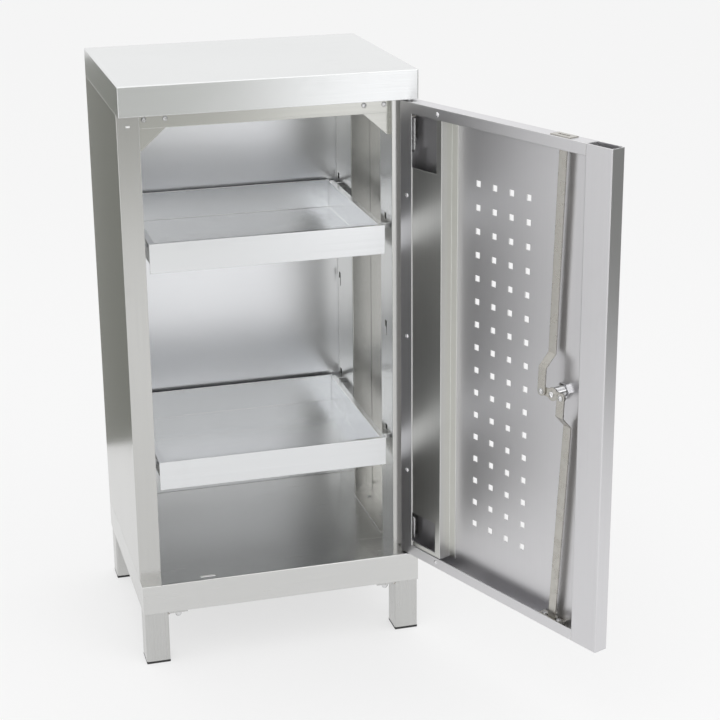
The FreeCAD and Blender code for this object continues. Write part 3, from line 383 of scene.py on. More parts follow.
@dataclass(frozen=True)
class BrushedSheet(Finish):
    """Satin stainless sheet with a brushed grain, faint handling marks and a painted highlight along its bends and
    edges.

    Attributes:
        brushing: direction of the grain.
        clouding: share of the soft patches in the tone, against the streaks.
        marks: strength of the handling marks.
        edge_highlight: how strongly the painted highlight brightens bends and edges.
        painted_shade_and_dulling: how far the faces that look up are darkened, as painted shade.
    """

    relief: float = 0.000004
    edge: float = 0.0015
    brushing: Brushing = Brushing.ALONG_Z
    clouding: float = 0.4
    marks: float = 0.3
    edge_highlight: float = 0.5
    painted_shade_and_dulling: float = 0.0

    def material(self) -> Material:
        """Build the finish and return its material."""
        material, shader, place = self.start()
        tree = material.node_tree
        grain_place = tree.nodes.new("ShaderNodeMapping")
        grain_place.inputs["Scale"].default_value = self.brushing.value
        tree.links.new(place, grain_place.inputs["Vector"])
        grain = self.place_group(tree, GRAIN, {"Grain": grain_place.outputs["Vector"], "Place": place},
                                 {"Light": self.light, "Dark": self.dark, "Clouding": self.clouding,
                                  "Roughness": self.roughness, "Spread": self.vary})
        smear = tuple(0.86 * part for part in self.dark)
        marks = self.place_group(tree, HANDLING, {"Place": place, "Color": grain.outputs["Color"],
                                                  "Roughness": grain.outputs["Roughness"]},
                                 {"Smear": smear, "Amount": self.marks})
        colour = marks.outputs["Color"]
        # Painted shade on the faces that look up.
        if self.painted_shade_and_dulling > 0:
            colour = self.paint_top_shade(tree, colour)
        rounded = self.rounded(tree)
        # The colour gets a painted highlight along bends and edges.
        edges = self.place_group(tree, EDGE_HIGHLIGHT, {"Rounded": rounded, "Color": colour}, {"Amount": self.edge_highlight})
        tree.links.new(edges.outputs["Color"], shader.inputs["Base Color"])
        tree.links.new(marks.outputs["Roughness"], shader.inputs["Roughness"])
        shader.inputs["Metallic"].default_value = 1.0
        self.add_relief(tree, shader, grain.outputs["Height"], rounded)
        return material

    def paint_top_shade(self, tree: Tree, colour: Socket) -> Socket:
        """Darken the faces that look up with painted shade.

        Args:
            tree: the material's node tree.
            colour: the sheet's colour.

        Returns:
            The darkened colour's socket.
        """
        geometry = tree.nodes.new("ShaderNodeNewGeometry")
        parts = tree.nodes.new("ShaderNodeSeparateXYZ")
        tree.links.new(geometry.outputs["True Normal"], parts.inputs["Vector"])
        # Painted shade: faces whose true normal points up are blended towards half the dark colour.
        mask = calculate(tree, "MULTIPLY", spread(tree, parts.outputs["Z"], low=0.6, high=0.95), self.painted_shade_and_dulling)
        return blend_colours(tree, mask, colour, tuple(0.5 * part for part in self.dark))


@dataclass(frozen=True)
class SpeckledFace(Finish):
    """Common parts of the finishes of small pieces."""

    def speckle(self, metallic: float) -> tuple[Material, Node]:
        """Build a material with a speckled face.

        Args:
            metallic: 1 for metal, 0 for anything else.

        Returns:
            The material and its Principled shader.
        """
        material, shader, place = self.start()
        tree = material.node_tree
        face = self.place_group(tree, PITTING, {"Place": place},
                                {"Light": self.light, "Dark": self.dark, "Roughness": self.roughness,
                                 "Spread": self.vary})
        tree.links.new(face.outputs["Color"], shader.inputs["Base Color"])
        tree.links.new(face.outputs["Roughness"], shader.inputs["Roughness"])
        shader.inputs["Metallic"].default_value = metallic
        self.add_relief(tree, shader, face.outputs["Height"], self.rounded(tree) if self.edge > 0 else None)
        return material, shader


@dataclass(frozen=True)
class SmallMetal(SpeckledFace):
    """Plated, machined or welded metal of small pieces."""

    def material(self) -> Material:
        """Build the finish and return its material."""
        return self.speckle(1.0)[0]


@dataclass(frozen=True)
class Moulded(SpeckledFace):
    """Moulded plastic or rubber with a fine eroded face.

    Attributes:
        specular: strength of its highlights.
    """

    specular: float = 0.4

    def material(self) -> Material:
        """Build the finish and return its material."""
        material, shader = self.speckle(0.0)
        shader.inputs["Specular IOR Level"].default_value = self.specular
        return material


CAP_STEEL = BrushedSheet("cap_steel", (0.76, 0.77, 0.77), (0.72, 0.73, 0.73), 0.24, 0.04,
                         brushing=Brushing.ALONG_X, clouding=0.5, marks=0.08)
WALL_STEEL = BrushedSheet("wall_steel", (0.60, 0.598, 0.583), (0.555, 0.553, 0.54), 0.22, 0.04,
                          brushing=Brushing.ALONG_Z, clouding=0.5, marks=0.08, edge_highlight=0.8)
POST_STEEL = BrushedSheet("post_steel", (0.76, 0.76, 0.74), (0.69, 0.69, 0.67), 0.22, 0.04,
                          brushing=Brushing.ALONG_Z, clouding=0.3, marks=0.10)
# The back and roof sheets are painted brighter than the other steel, as painted light on the cabinet's inside.
BACK_STEEL_PAINTED_LIGHT = BrushedSheet("back_steel_painted_light", (0.88, 0.89, 0.91), (0.85, 0.86, 0.88), 0.30, 0.02, relief=0.000001,
                          brushing=Brushing.ALONG_X, clouding=0.8, marks=0.05)
RAIL_STEEL = BrushedSheet("rail_steel", (0.58, 0.58, 0.55), (0.52, 0.52, 0.49), 0.24, 0.04,
                          brushing=Brushing.ALONG_X, clouding=0.4, marks=0.08)
# The trays' faces that look up get painted shade.
TRAY_STEEL = BrushedSheet("tray_steel", (0.79, 0.80, 0.81), (0.74, 0.75, 0.76), 0.24, 0.04,
                          brushing=Brushing.ALONG_X, clouding=0.5, marks=0.10, painted_shade_and_dulling=0.5)
PAN_STEEL = BrushedSheet("pan_steel", (0.68, 0.68, 0.67), (0.63, 0.63, 0.62), 0.25, 0.06,
                         brushing=Brushing.ALONG_X, clouding=0.5, marks=0.06)
LEG_STEEL = BrushedSheet("leg_steel", (0.60, 0.60, 0.59), (0.55, 0.55, 0.54), 0.26, 0.05,
                         brushing=Brushing.ALONG_Z, clouding=0.3, marks=0.10)
DOOR_STEEL = BrushedSheet("door_steel", (0.715, 0.71, 0.725), (0.68, 0.675, 0.69), 0.36, 0.03, relief=0.000002,
                          brushing=Brushing.ALONG_Z, clouding=0.6, marks=0.05, edge_highlight=0.8)
STIFFENER_STEEL = BrushedSheet("stiffener_steel", (0.75, 0.75, 0.725), (0.68, 0.68, 0.655), 0.31, 0.05,
                               relief=0.000002, brushing=Brushing.ALONG_Z, clouding=0.4, marks=0.08, edge_highlight=0.8)
ROD_STEEL = SmallMetal("rod_steel", (0.56, 0.545, 0.51), (0.47, 0.455, 0.42), 0.30, 0.12, relief=0.000006)
FIXING_STEEL = SmallMetal("fixing_steel", (0.78, 0.78, 0.79), (0.62, 0.62, 0.62), 0.22, 0.10,
                          relief=0.000006, edge=0.0002)
SPRING_STEEL = SmallMetal("spring_steel", (0.42, 0.42, 0.43), (0.28, 0.28, 0.29), 0.3, 0.12,
                          relief=0.000004, edge=0.0)
LOCK_CHROME = SmallMetal("lock_chrome", (0.66, 0.66, 0.67), (0.58, 0.58, 0.59), 0.12, 0.06,
                         relief=0.000003, edge=0.0003)
WELD_STEEL = SmallMetal("weld_steel", (0.56, 0.53, 0.48), (0.38, 0.36, 0.33), 0.38, 0.2,
                        relief=0.00003, edge=0.0)
FOOT_PLASTIC = Moulded("foot_plastic", (0.030, 0.030, 0.031), (0.017, 0.017, 0.018), 0.48, 0.15,
                       relief=0.00002, edge=0.0)
# The buffer's pale colour is partly its own and partly a painted highlight.
BUFFER_RUBBER = Moulded("buffer_rubber", (0.88, 0.88, 0.87), (0.82, 0.82, 0.81), 0.35, 0.1,
                        relief=0.00001, edge=0.0)


MATERIALS: dict[str, Material] = {}


def dress_shop(finish: Finish) -> Material:
    """Return the material of a finish, built when it is first asked for."""
    if finish.name not in MATERIALS:
        MATERIALS[finish.name] = finish.material()
    return MATERIALS[finish.name]


class Shaper:
    """A mesh in the making, with the operators that its pieces share."""

    steps_per_turn = 16
    wire_sides = 7
    slot_margin = 0.00006

    def __init__(self) -> None:
        """Start with an empty mesh."""
        self.mesh = bmesh.new()
        self.settled = self.mesh.verts.layers.int.new("settled")

    def turned(self, profile: Outline, place: Matrix, segments: int = 24, ring: bool = False) -> None:
        """Turn an outline about an axis.

        Args:
            profile: radius and height of each point, from the axis to the axis, or round a ring.
            place: where the axis stands, with its +Z along the heights.
            segments: how many sides the turned shape has.
            ring: whether the outline closes on itself clear of the axis.
        """
        points = [self.mesh.verts.new((radius, 0.0, height)) for radius, height in profile]
        pairs = list(zip(points, points[1:])) + ([(points[-1], points[0])] if ring else [])
        edges = [self.mesh.edges.new(pair) for pair in pairs]
        bmesh.ops.spin(self.mesh, geom=points + edges, cent=(0, 0, 0), axis=(0, 0, 1), dvec=(0, 0, 0),
                       angle=math.tau, steps=segments, use_merge=True, use_duplicate=False)
        bmesh.ops.remove_doubles(self.mesh, verts=self.fresh(), dist=1e-6)
        self.settle(place)

    def fresh(self) -> list[bmesh.types.BMVert]:
        """Return the vertices that no earlier shape has settled."""
        return [vert for vert in self.mesh.verts if vert[self.settled] == 0]

    def settle(self, place: Matrix) -> None:
        """Move what is new to its place and mark it as settled."""
        fresh = self.fresh()
        faces = [face for face in self.mesh.faces if all(vert[self.settled] == 0 for vert in face.verts)]
        bmesh.ops.recalc_face_normals(self.mesh, faces=faces)
        bmesh.ops.transform(self.mesh, matrix=place, verts=fresh)
        for vert in fresh:
            vert[self.settled] = 1

    def prism(self, sides: int, radius: float, low: float, high: float, place: Matrix, bevel: float = 0.0) -> None:
        """Add a straight prism.

        Args:
            sides: how many sides it has.
            radius: distance of its corners from the axis.
            low: level of its base.
            high: level of its top.
            place: where it stands.
            bevel: radius of its rounded edges.
        """
        made = bmesh.ops.create_circle(self.mesh, cap_ends=True, segments=sides, radius=radius,
                                       matrix=Matrix.Translation((0, 0, low)))
        faces = list({face for vert in made["verts"] for face in vert.link_faces})
        grown = bmesh.ops.extrude_face_region(self.mesh, geom=faces, use_keep_orig=True)
        moved = [part for part in grown["geom"] if isinstance(part, bmesh.types.BMVert)]
        bmesh.ops.translate(self.mesh, vec=(0, 0, high - low), verts=moved)
        if bevel > 0:
            edges = list({edge for vert in moved + made["verts"] for edge in vert.link_edges})
            bmesh.ops.bevel(self.mesh, geom=edges, offset=bevel, offset_type="OFFSET", affect="EDGES", segments=2,
                            profile=0.5, material=-1)
        self.settle(place)

    def block(self, size: Place, place: Matrix, bevel: float, segments: int = 2) -> None:
        """Add a block with rounded edges.

        Args:
            size: its lengths along X, Y and Z.
            place: where its middle is.
            bevel: radius of its edges.
            segments: how many steps round each edge.
        """
        made = bmesh.ops.create_cube(self.mesh, size=1.0, matrix=Matrix.Diagonal((*size, 1.0)))
        edges = list({edge for vert in made["verts"] for edge in vert.link_edges})
        bmesh.ops.bevel(self.mesh, geom=edges, offset=bevel, offset_type="OFFSET", affect="EDGES",
                        segments=segments, profile=0.5, material=-1)
        self.settle(place)

    def coil(self, radius: float, wire: float, turns: float, height: float, place: Matrix) -> None:
        """Add a coil of round wire.

        Args:
            radius: distance of the wire's middle from the axis.
            wire: radius of the wire.
            turns: how often it goes round.
            height: how far it climbs.
            place: where its lower end's axis stands.
        """
        steps = int(turns * self.steps_per_turn)
        start = Matrix.Translation((radius, 0, 0)) @ Matrix.Rotation(math.radians(90), 4, "X")
        made = bmesh.ops.create_circle(self.mesh, cap_ends=False, segments=self.wire_sides, radius=wire,
                                       matrix=start)
        edges = list({edge for vert in made["verts"] for edge in vert.link_edges})
        bmesh.ops.spin(self.mesh, geom=made["verts"] + edges, cent=(0, 0, 0), axis=(0, 0, 1),
                       dvec=(0, 0, height / steps), angle=math.tau * turns, steps=steps, use_merge=False,
                       use_duplicate=False)
        open_edges = [edge for edge in self.mesh.edges if edge.is_boundary]
        bmesh.ops.holes_fill(self.mesh, edges=open_edges, sides=8)
        self.settle(place)

    def cut_slot(self, width: float, depth: float, top: float, place: Matrix) -> None:
        """Sink a straight slot across the head that stands at a place.

        Args:
            width: the slot's width.
            depth: how deep it goes.
            top: level of the head's top over its seat.
            place: where the head stands.
        """
        inward = place.inverted()
        side = (place.to_3x3() @ Vector((1, 0, 0))).normalized()
        centre = place.translation
        reach = 3 * top + 0.008
        near = [face for face in self.mesh.faces if (inward @ face.calc_center_median()).length < reach]
        outer = width / 2 + self.slot_margin
        for shift in (-outer, -width / 2, width / 2, outer):
            geom = [part for face in near if face.is_valid for part in (face, *face.edges, *face.verts)]
            made = bmesh.ops.bisect_plane(self.mesh, geom=list(dict.fromkeys(geom)), dist=1e-7,
                                          plane_co=centre + side * shift, plane_no=side)
            near = list({part for part in made["geom"] if isinstance(part, bmesh.types.BMFace)} |
                        {face for face in near if face.is_valid})
        for vert in {vert for face in near if face.is_valid for vert in face.verts}:
            local = inward @ vert.co
            if abs(local.x) < width / 2 + self.slot_margin / 3 and local.z > top * 0.3:
                local.z = min(local.z, top - depth)
                vert.co = place @ local

    def finish(self, name: str, finish: Finish, body: str, slot: str, replaces: tuple[str, ...] = (),
               smooth: float = 40.0) -> bpy.types.Object:
        """Turn the mesh into a piece of the object.

        Args:
            name: the piece's name.
            finish: its finish.
            body: the CAD body that it rides on.
            slot: the record's material slot; not used.
            replaces: CAD nodes that it stands for.
            smooth: angle in degrees up to which faces shade smoothly.

        Returns:
            The finished object, at the origin.
        """
        data = bpy.data.meshes.new(name)
        self.mesh.verts.layers.int.remove(self.settled)
        for face in self.mesh.faces:
            face.smooth = True
        for edge in self.mesh.edges:
            if len(edge.link_faces) == 2 and edge.calc_face_angle(0.0) > math.radians(smooth):
                edge.smooth = False
        self.mesh.to_mesh(data)
        self.mesh.free()
        data.materials.append(dress_shop(finish))
        piece = show(name, data)
        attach(piece, body)
        if replaces:
            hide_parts(*replaces)
        LOG.info("piece %s: %d faces, rides on %s", name, len(data.polygons), body)
        return piece


def dress(finish: Finish, *nodes: str) -> None:
    """Give CAD nodes a finish.

    Args:
        finish: the finish.
        nodes: names of the CAD nodes.
    """
    for name in nodes:
        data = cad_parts[name].data
        data.materials.clear()
        data.materials.append(dress_shop(finish))
        LOG.info("node %s: %s", name, finish.name)


def at(x: float, y: float, z: float, facing: Facing = Facing.UP) -> Matrix:
    """Return a place in the cabinet's frame."""
    return Matrix.Translation((x, y, z)) @ facing.turn()


@dataclass(frozen=True)
class BlindRivet:
    """A blind rivet with its broken mandrel in a shallow dimple."""

    radius: float = 0.004
    height: float = 0.0018

    def add(self, shaper: Shaper, place: Matrix) -> None:
        """Add the rivet's head to a mesh at a place."""
        r, h = self.radius, self.height
        shaper.turned([(0, 0), (r, 0), (r, 0.22 * h), (0.93 * r, 0.5 * h), (0.74 * r, 0.82 * h), (0.48 * r, h),
                       (0.38 * r, h), (0.34 * r, 0.55 * h), (0.2 * r, 0.5 * h), (0.14 * r, 0.66 * h),
                       (0, 0.7 * h)], place)


@dataclass(frozen=True)
class ButtonScrew:
    """A button head screw with a round hollow in its head."""

    radius: float = 0.0045
    height: float = 0.0032

    def add(self, shaper: Shaper, place: Matrix) -> None:
        """Add the screw's head to a mesh at a place."""
        r, h = self.radius, self.height
        shaper.turned([(0, 0), (0.96 * r, 0), (r, 0.12 * h), (0.97 * r, 0.38 * h), (0.85 * r, 0.7 * h),
                       (0.66 * r, 0.93 * h), (0.54 * r, h), (0.5 * r, 0.97 * h), (0.48 * r, 0.08 * h),
                       (0.3 * r, 0.05 * h), (0, 0.04 * h)], place)


@dataclass(frozen=True)
class SlottedScrew:
    """A cheese head screw with a straight slot."""

    radius: float = 0.005
    height: float = 0.003
    slot_width: float = 0.0013

    def add(self, shaper: Shaper, place: Matrix) -> None:
        """Add the screw's head to a mesh at a place and cut its slot."""
        r, h = self.radius, self.height
        shaper.turned([(0, 0), (0.97 * r, 0), (r, 0.1 * h), (r, 0.62 * h), (0.94 * r, 0.82 * h),
                       (0.74 * r, 0.95 * h), (0.4 * r, h), (0, h)], place, 28)
        shaper.cut_slot(self.slot_width, 0.45 * h, h, place)


@dataclass(frozen=True)
class DomeBolt:
    """A domed bolt on a washer."""

    radius: float = 0.005
    height: float = 0.003

    def add(self, shaper: Shaper, place: Matrix) -> None:
        """Add the washer and the dome to a mesh at a place."""
        r, h = self.radius, self.height
        shaper.turned([(0, 0), (r, 0), (r, 0.14 * h), (0.97 * r, 0.2 * h), (0.8 * r, 0.2 * h),
                       (0.79 * r, 0.42 * h), (0.7 * r, 0.68 * h), (0.52 * r, 0.87 * h), (0.27 * r, 0.97 * h),
                       (0, h)], place, 24)


@dataclass
class Carcass:
    """Cap, walls, roof, rail and base: the pieces that stand still."""

    floor_level: float = 0.1512
    rivet_x: float = 0.2337
    rivet_places: tuple[float, ...] = (-0.026, 0.061)
    screw_level: float = 0.961
    rail_front: float = -0.156
    screw_x: tuple[float, ...] = (0.168, 0.203)

    def build(self) -> None:
        """Dress the sheets and build the rivets, the screws and the buffer."""
        dress(CAP_STEEL, "top_cover")
        dress(BACK_STEEL_PAINTED_LIGHT, "back_panel", "roof_panel")
        dress(WALL_STEEL, "side_panel_left", "side_panel_right")
        dress(PAN_STEEL, "base_pan")
        dress(RAIL_STEEL, "front_rail", "gusset_left", "gusset_right")
        dress(POST_STEEL, *(f"upright_{corner}" for corner in CORNERS))
        self.build_rivets()
        self.build_screws()
        self.build_buffer()

    def build_rivets(self) -> None:
        """Build the blind rivets of the floor flanges."""
        shaper = Shaper()
        for side in SIGNS:
            for place in self.rivet_places:
                BlindRivet().add(shaper, at(side * self.rivet_x, place, self.floor_level))
        shaper.finish("floor_rivet_heads", FIXING_STEEL, "cabinet", "steel_fixings", ("floor_rivets",))

    def build_screws(self) -> None:
        """Build the button screws of the front rail."""
        shaper = Shaper()
        for side in SIGNS:
            for place in self.screw_x:
                ButtonScrew().add(shaper, at(side * place, self.rail_front, self.screw_level, Facing.FRONT))
        shaper.finish("rail_screw_heads", FIXING_STEEL, "cabinet", "steel_fixings", ("rail_screws",))

    def build_buffer(self) -> None:
        """Build the soft buffer on the left post, pale partly in its own colour and partly as a painted highlight.
        """
        low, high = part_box("door_buffer")
        shaper = Shaper()
        shaper.block(tuple(high - low), Matrix.Translation((low + high) / 2), 0.0009, 3)
        shaper.finish("buffer_pad", BUFFER_RUBBER, "cabinet", "rubber", ("door_buffer",))


@dataclass
class Legs:
    """The four tube legs with their feet, bolts and welds."""

    outer_x: float = 0.2485
    outer_y: float = 0.1985
    width: float = 0.042
    ear_level: float = 0.097
    ear_sheet: float = 0.0035
    bolt_x: float = 0.1885
    bolt_y: float = 0.1925
    tread: float = 0.0045
    rib_levels: tuple[float, ...] = (0.0068, 0.0098, 0.0128, 0.0158)
    weld_ripples: int = 9
    ripple_pitch: float = 0.0019
    ripple_size: Place = (0.0022, 0.0017, 0.0020)

    def build(self) -> None:
        """Dress the legs and build what is fixed to them."""
        dress(LEG_STEEL, *(f"leg_{corner}" for corner in CORNERS))
        for corner in CORNERS:
            self.build_foot(corner)
        self.build_bolts()
        self.build_welds()

    def build_foot(self, corner: str) -> None:
        """Build one moulded foot with a chamfered tread.

        Args:
            corner: name of the leg that it closes.
        """
        low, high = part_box(f"foot_{corner}")
        middle = (low + high) / 2
        plug, rib, sunk = self.width - 0.0046, self.width - 0.0042, 0.001
        shaper = Shaper()
        shaper.block((self.width, self.width, self.tread), at(middle.x, middle.y, self.tread / 2), 0.0011, 3)
        shaper.block((plug, plug, high.z - self.tread + sunk),
                     at(middle.x, middle.y, (high.z + self.tread - sunk) / 2), 0.0008)
        for level in self.rib_levels:
            shaper.block((rib, rib, 0.0009), at(middle.x, middle.y, level), 0.0003)
        shaper.finish(f"moulded_foot_{corner}", FOOT_PLASTIC, "cabinet", "black_plastic", (f"foot_{corner}",))

    def build_bolts(self) -> None:
        """Build the cap nuts under the ears and the bolt heads over the pan's return."""
        shaper = Shaper()
        for side, end in CORNERS.values():
            seat = at(side * self.bolt_x, end * self.bolt_y, self.ear_level - self.ear_sheet, Facing.DOWN)
            shaper.prism(6, 0.0063, 0.0, 0.0045, seat, 0.0004)
            shaper.turned([(0, 0.0044), (0.0051, 0.0044), (0.0050, 0.0058), (0.0044, 0.0072), (0.0031, 0.0083),
                           (0.0015, 0.0089), (0, 0.009)], seat)
            head = at(side * self.bolt_x, end * self.bolt_y, self.ear_level + 0.0015)
            shaper.prism(6, 0.0060, 0.0, 0.0038, head, 0.0004)
        shaper.finish("leg_bolt_set", FIXING_STEEL, "cabinet", "steel_fixings", ("leg_bolts",))

    def build_welds(self) -> None:
        """Build the rippled weld bead where each ear meets its leg."""
        shaper = Shaper()
        for side, end in CORNERS.values():
            for step in range(self.weld_ripples):
                y = end * (self.outer_y - 0.0012 - step * self.ripple_pitch)
                x = side * (self.outer_x - self.width - 0.0004)
                stretch = Matrix.Diagonal((*self.ripple_size, 1.0))
                bmesh.ops.create_uvsphere(shaper.mesh, u_segments=10, v_segments=7, radius=1.0, matrix=stretch)
                shaper.settle(at(x, y, self.ear_level - self.ear_sheet))
        shaper.finish("leg_weld_beads", WELD_STEEL, "cabinet", "steel_fixings", smooth=80.0)


@dataclass
class Trays:
    """The two lift-off storage trays."""

    def build(self) -> None:
        """Dress the trays."""
        dress(TRAY_STEEL, "tray_upper", "tray_lower")


@dataclass
class Door:
    """The perforated door with its stiffener, brackets and springs.

    Attributes:
        hinge_x: place of the hinge axis.
        hinge_y: place of the hinge axis.
        opened: how far the door stands open, in radians.
        inside: depth of the stiffener's seat behind the hinge axis.
        rivets: distance from the hinge axis and level of each rivet.
        guide_screws: distance from the hinge axis of each screw of the lower guide.
        guide_level: level of those screws.
        springs: level and height of the upper and the lower pin's spring.
    """

    hinge_x: float = 0.238
    hinge_y: float = -0.186
    opened: float = math.radians(111.9)
    inside: float = 0.013
    rivets: tuple[tuple[float, float], ...] = ((0.009, 0.3125), (0.009, 0.5625), (0.009, 0.8125),
                                               (0.088, 0.162), (0.088, 0.962))
    guide_screws: tuple[float, float] = (0.353, 0.387)
    guide_level: float = 0.1662
    springs: tuple[tuple[str, float, float], ...] = (("upper", 0.909, 0.032), ("lower", 0.1815, 0.026))

    def spot(self, across: float, depth: float, level: float, facing: Facing = Facing.UP) -> Matrix:
        """Return a place on the standing door.

        Args:
            across: distance from the hinge axis along the door.
            depth: distance from the hinge axis towards the cabinet's inside.
            level: height over the floor.
            facing: where +Z points, seen with the door closed.

        Returns:
            The place in the cabinet's frame.
        """
        door = Matrix.Translation((self.hinge_x, self.hinge_y, 0)) @ Matrix.Rotation(self.opened, 4, "Z")
        return door @ at(-across, depth, level, facing)

    def build(self) -> None:
        """Dress the door and build its rivets, guide screws and springs."""
        dress(DOOR_STEEL, "door_pan")
        dress(STIFFENER_STEEL, "hinge_stiffener")
        dress(ROD_STEEL, "pin_bracket_upper", "pin_bracket_lower", "rod_guide_upper", "rod_guide_lower")
        dress(FIXING_STEEL, "hinge_pin_upper", "hinge_pin_lower")
        shaper = Shaper()
        for across, level in self.rivets:
            BlindRivet().add(shaper, self.spot(across, self.inside, level, Facing.BACK))
        shaper.finish("door_rivet_heads", FIXING_STEEL, "door", "steel_fixings", ("door_rivets",))
        shaper = Shaper()
        for across in self.guide_screws:
            SlottedScrew(0.004, 0.0018, 0.0009).add(shaper, self.spot(across, 0.0, self.guide_level))
        shaper.finish("guide_screw_heads", FIXING_STEEL, "door", "steel_fixings", ("guide_screws",))
        for name, low, height in self.springs:
            shaper = Shaper()
            shaper.coil(radius=0.0038, wire=0.00055, turns=8.0, height=height, place=self.spot(0.0, 0.0, low))
            shaper.finish(f"pin_spring_{name}", SPRING_STEEL, "door", "steel_fixings", smooth=80.0)


@dataclass
class Lock:
    """The cylinder lock with its cam and the two rods.

    Attributes:
        door: the door that carries the lock.
        across: distance of the lock's axis from the hinge axis.
        level: height of the lock's axis over the floor.
        cam_top: depth of the cam's inner face.
        bolt_seat: depth of the rods' inner faces.
        arm: length of each arm of the cam.
        thread: outer radius, root radius and pitch of the barrel's thread.
        threaded: where the thread begins and ends along the axis.
    """

    door: Door
    across: float = 0.376
    level: float = 0.5625
    cam_top: float = 0.018
    bolt_seat: float = 0.0211
    arm: float = 0.022
    thread: Place = (0.0095, 0.0090, 0.0012)
    threaded: tuple[float, float] = (-0.0125, 0.0106)

    def build(self) -> None:
        """Dress the lock and build its threaded housing and its screw heads."""
        dress(ROD_STEEL, "lock_cam", "upper_rod", "lower_rod")
        dress(LOCK_CHROME, "lock_nut", "lock_plug")
        self.build_housing()
        shaper = Shaper()
        SlottedScrew().add(shaper, self.door.spot(self.across, self.cam_top, self.level, Facing.BACK)
                           @ Matrix.Rotation(math.radians(35), 4, "Z"))
        shaper.finish("cam_screw_head", FIXING_STEEL, "lock", "plated_steel", ("cam_screw",))
        shaper = Shaper()
        for side in SIGNS:
            DomeBolt().add(shaper, self.door.spot(self.across + side * self.arm, self.bolt_seat, self.level,
                                                  Facing.BACK))
        shaper.finish("rod_bolt_heads", FIXING_STEEL, "lock", "plated_steel", ("rod_bolts",))

    def build_housing(self) -> None:
        """Build the housing: an outer collar and a threaded barrel round the plug."""
        profile = [(0.0056, -0.0155), (0.0112, -0.0155), (0.0119, -0.0149), (0.012, -0.013), (0.0095, -0.013)]
        crest, root, pitch = self.thread
        level, end = self.threaded
        while level < end:
            profile += [(crest, level), (root, level + pitch / 2)]
            level += pitch
        profile += [(0.0092, 0.0114), (0.0086, 0.012), (0.0056, 0.012)]
        shaper = Shaper()
        shaper.turned(profile, self.door.spot(self.across, 0.0, self.level, Facing.BACK), 32, ring=True)
        shaper.finish("lock_barrel", LOCK_CHROME, "door", "chrome", ("lock_housing",))


@dataclass(frozen=True)
class Camera:
    """The photograph's camera.

    Attributes:
        place: where it stands.
        yaw: turn to the left, in radians.
        pitch: tilt upwards, in radians.
        roll: turn about the line of sight, in radians.
        lens: focal length in millimetres on a 36 mm sensor.
        shift: sideways and upward shift of the sensor.
    """

    place: Place = (-0.6321, -2.9939, 1.5449)
    yaw: float = -0.26290
    pitch: float = -0.31717
    roll: float = -0.01241
    lens: float = 89.287
    shift: tuple[float, float] = (0.02, -0.05)

    def build(self) -> None:
        """Make the scene's camera."""
        ahead = Vector((-math.sin(self.yaw) * math.cos(self.pitch), math.cos(self.yaw) * math.cos(self.pitch),
                        math.sin(self.pitch)))
        level = Vector((math.cos(self.yaw), math.sin(self.yaw), 0.0))
        upward = level.cross(ahead)
        right = level * math.cos(self.roll) + upward * math.sin(self.roll)
        data = bpy.data.cameras.new("photo_camera")
        data.lens = self.lens
        data.sensor_width = 36.0
        data.shift_x, data.shift_y = self.shift
        camera = show("photo_camera", data)
        turned = Matrix((right, right.cross(ahead), -ahead)).transposed()
        camera.matrix_world = Matrix.Translation(self.place) @ turned.to_4x4()
        bpy.context.scene.camera = camera


@dataclass(frozen=True)
class SoftBox:
    """A large soft lamp.

    Attributes:
        name: the lamp's name.
        place: where it hangs.
        target: what it is aimed at.
        size: its width and height.
        power: its power in watts.
    """

    name: str
    place: Place
    target: Place
    size: tuple[float, float]
    power: float

    def build(self) -> None:
        """Make the lamp."""
        data = bpy.data.lights.new(self.name, "AREA")
        data.shape = "RECTANGLE"
        data.size, data.size_y = self.size
        data.energy = self.power
        lamp = show(self.name, data)
        lamp.location = self.place
        lamp.rotation_euler = (Vector(self.target) - Vector(self.place)).to_track_quat("-Z", "Y").to_euler()


def flat_sheet(name: str, size: tuple[float, float]) -> bpy.types.Mesh:
    """Make a flat rectangle.

    Args:
        name: the mesh's name.
        size: its lengths along X and Y.

    Returns:
        The mesh, with its middle at the origin.
    """
    mesh = bmesh.new()
    shape = Matrix.Diagonal((size[0] / 2, size[1] / 2, 1.0, 1.0))
    bmesh.ops.create_grid(mesh, x_segments=1, y_segments=1, size=1.0, matrix=shape)
    data = bpy.data.meshes.new(name)
    mesh.to_mesh(data)
    mesh.free()
    return data


@dataclass(frozen=True)
class Card:
    """A plain card that only reflections see, as a photographer's flag is.

    Attributes:
        name: the card's name.
        place: where its middle is.
        target: what it faces.
        size: its width and height.
        shade: the colour that it glows with.
    """

    name: str
    place: Place
    target: Place
    size: tuple[float, float]
    shade: Colour

    def build(self) -> None:
        """Make the card."""
        card = show(self.name, flat_sheet(self.name, self.size))
        material = bpy.data.materials.new(self.name)
        material.use_nodes = True
        tree = material.node_tree
        tree.nodes.clear()
        glow = tree.nodes.new("ShaderNodeEmission")
        glow.inputs["Color"].default_value = (*self.shade, 1.0)
        output = tree.nodes.new("ShaderNodeOutputMaterial")
        tree.links.new(glow.outputs["Emission"], output.inputs["Surface"])
        card.data.materials.append(material)
        card.location = self.place
        card.rotation_euler = (Vector(self.target) - Vector(self.place)).to_track_quat("Z", "Y").to_euler()
        card.visible_camera = False
        card.visible_diffuse = False
        card.visible_shadow = False
        card.visible_transmission = False


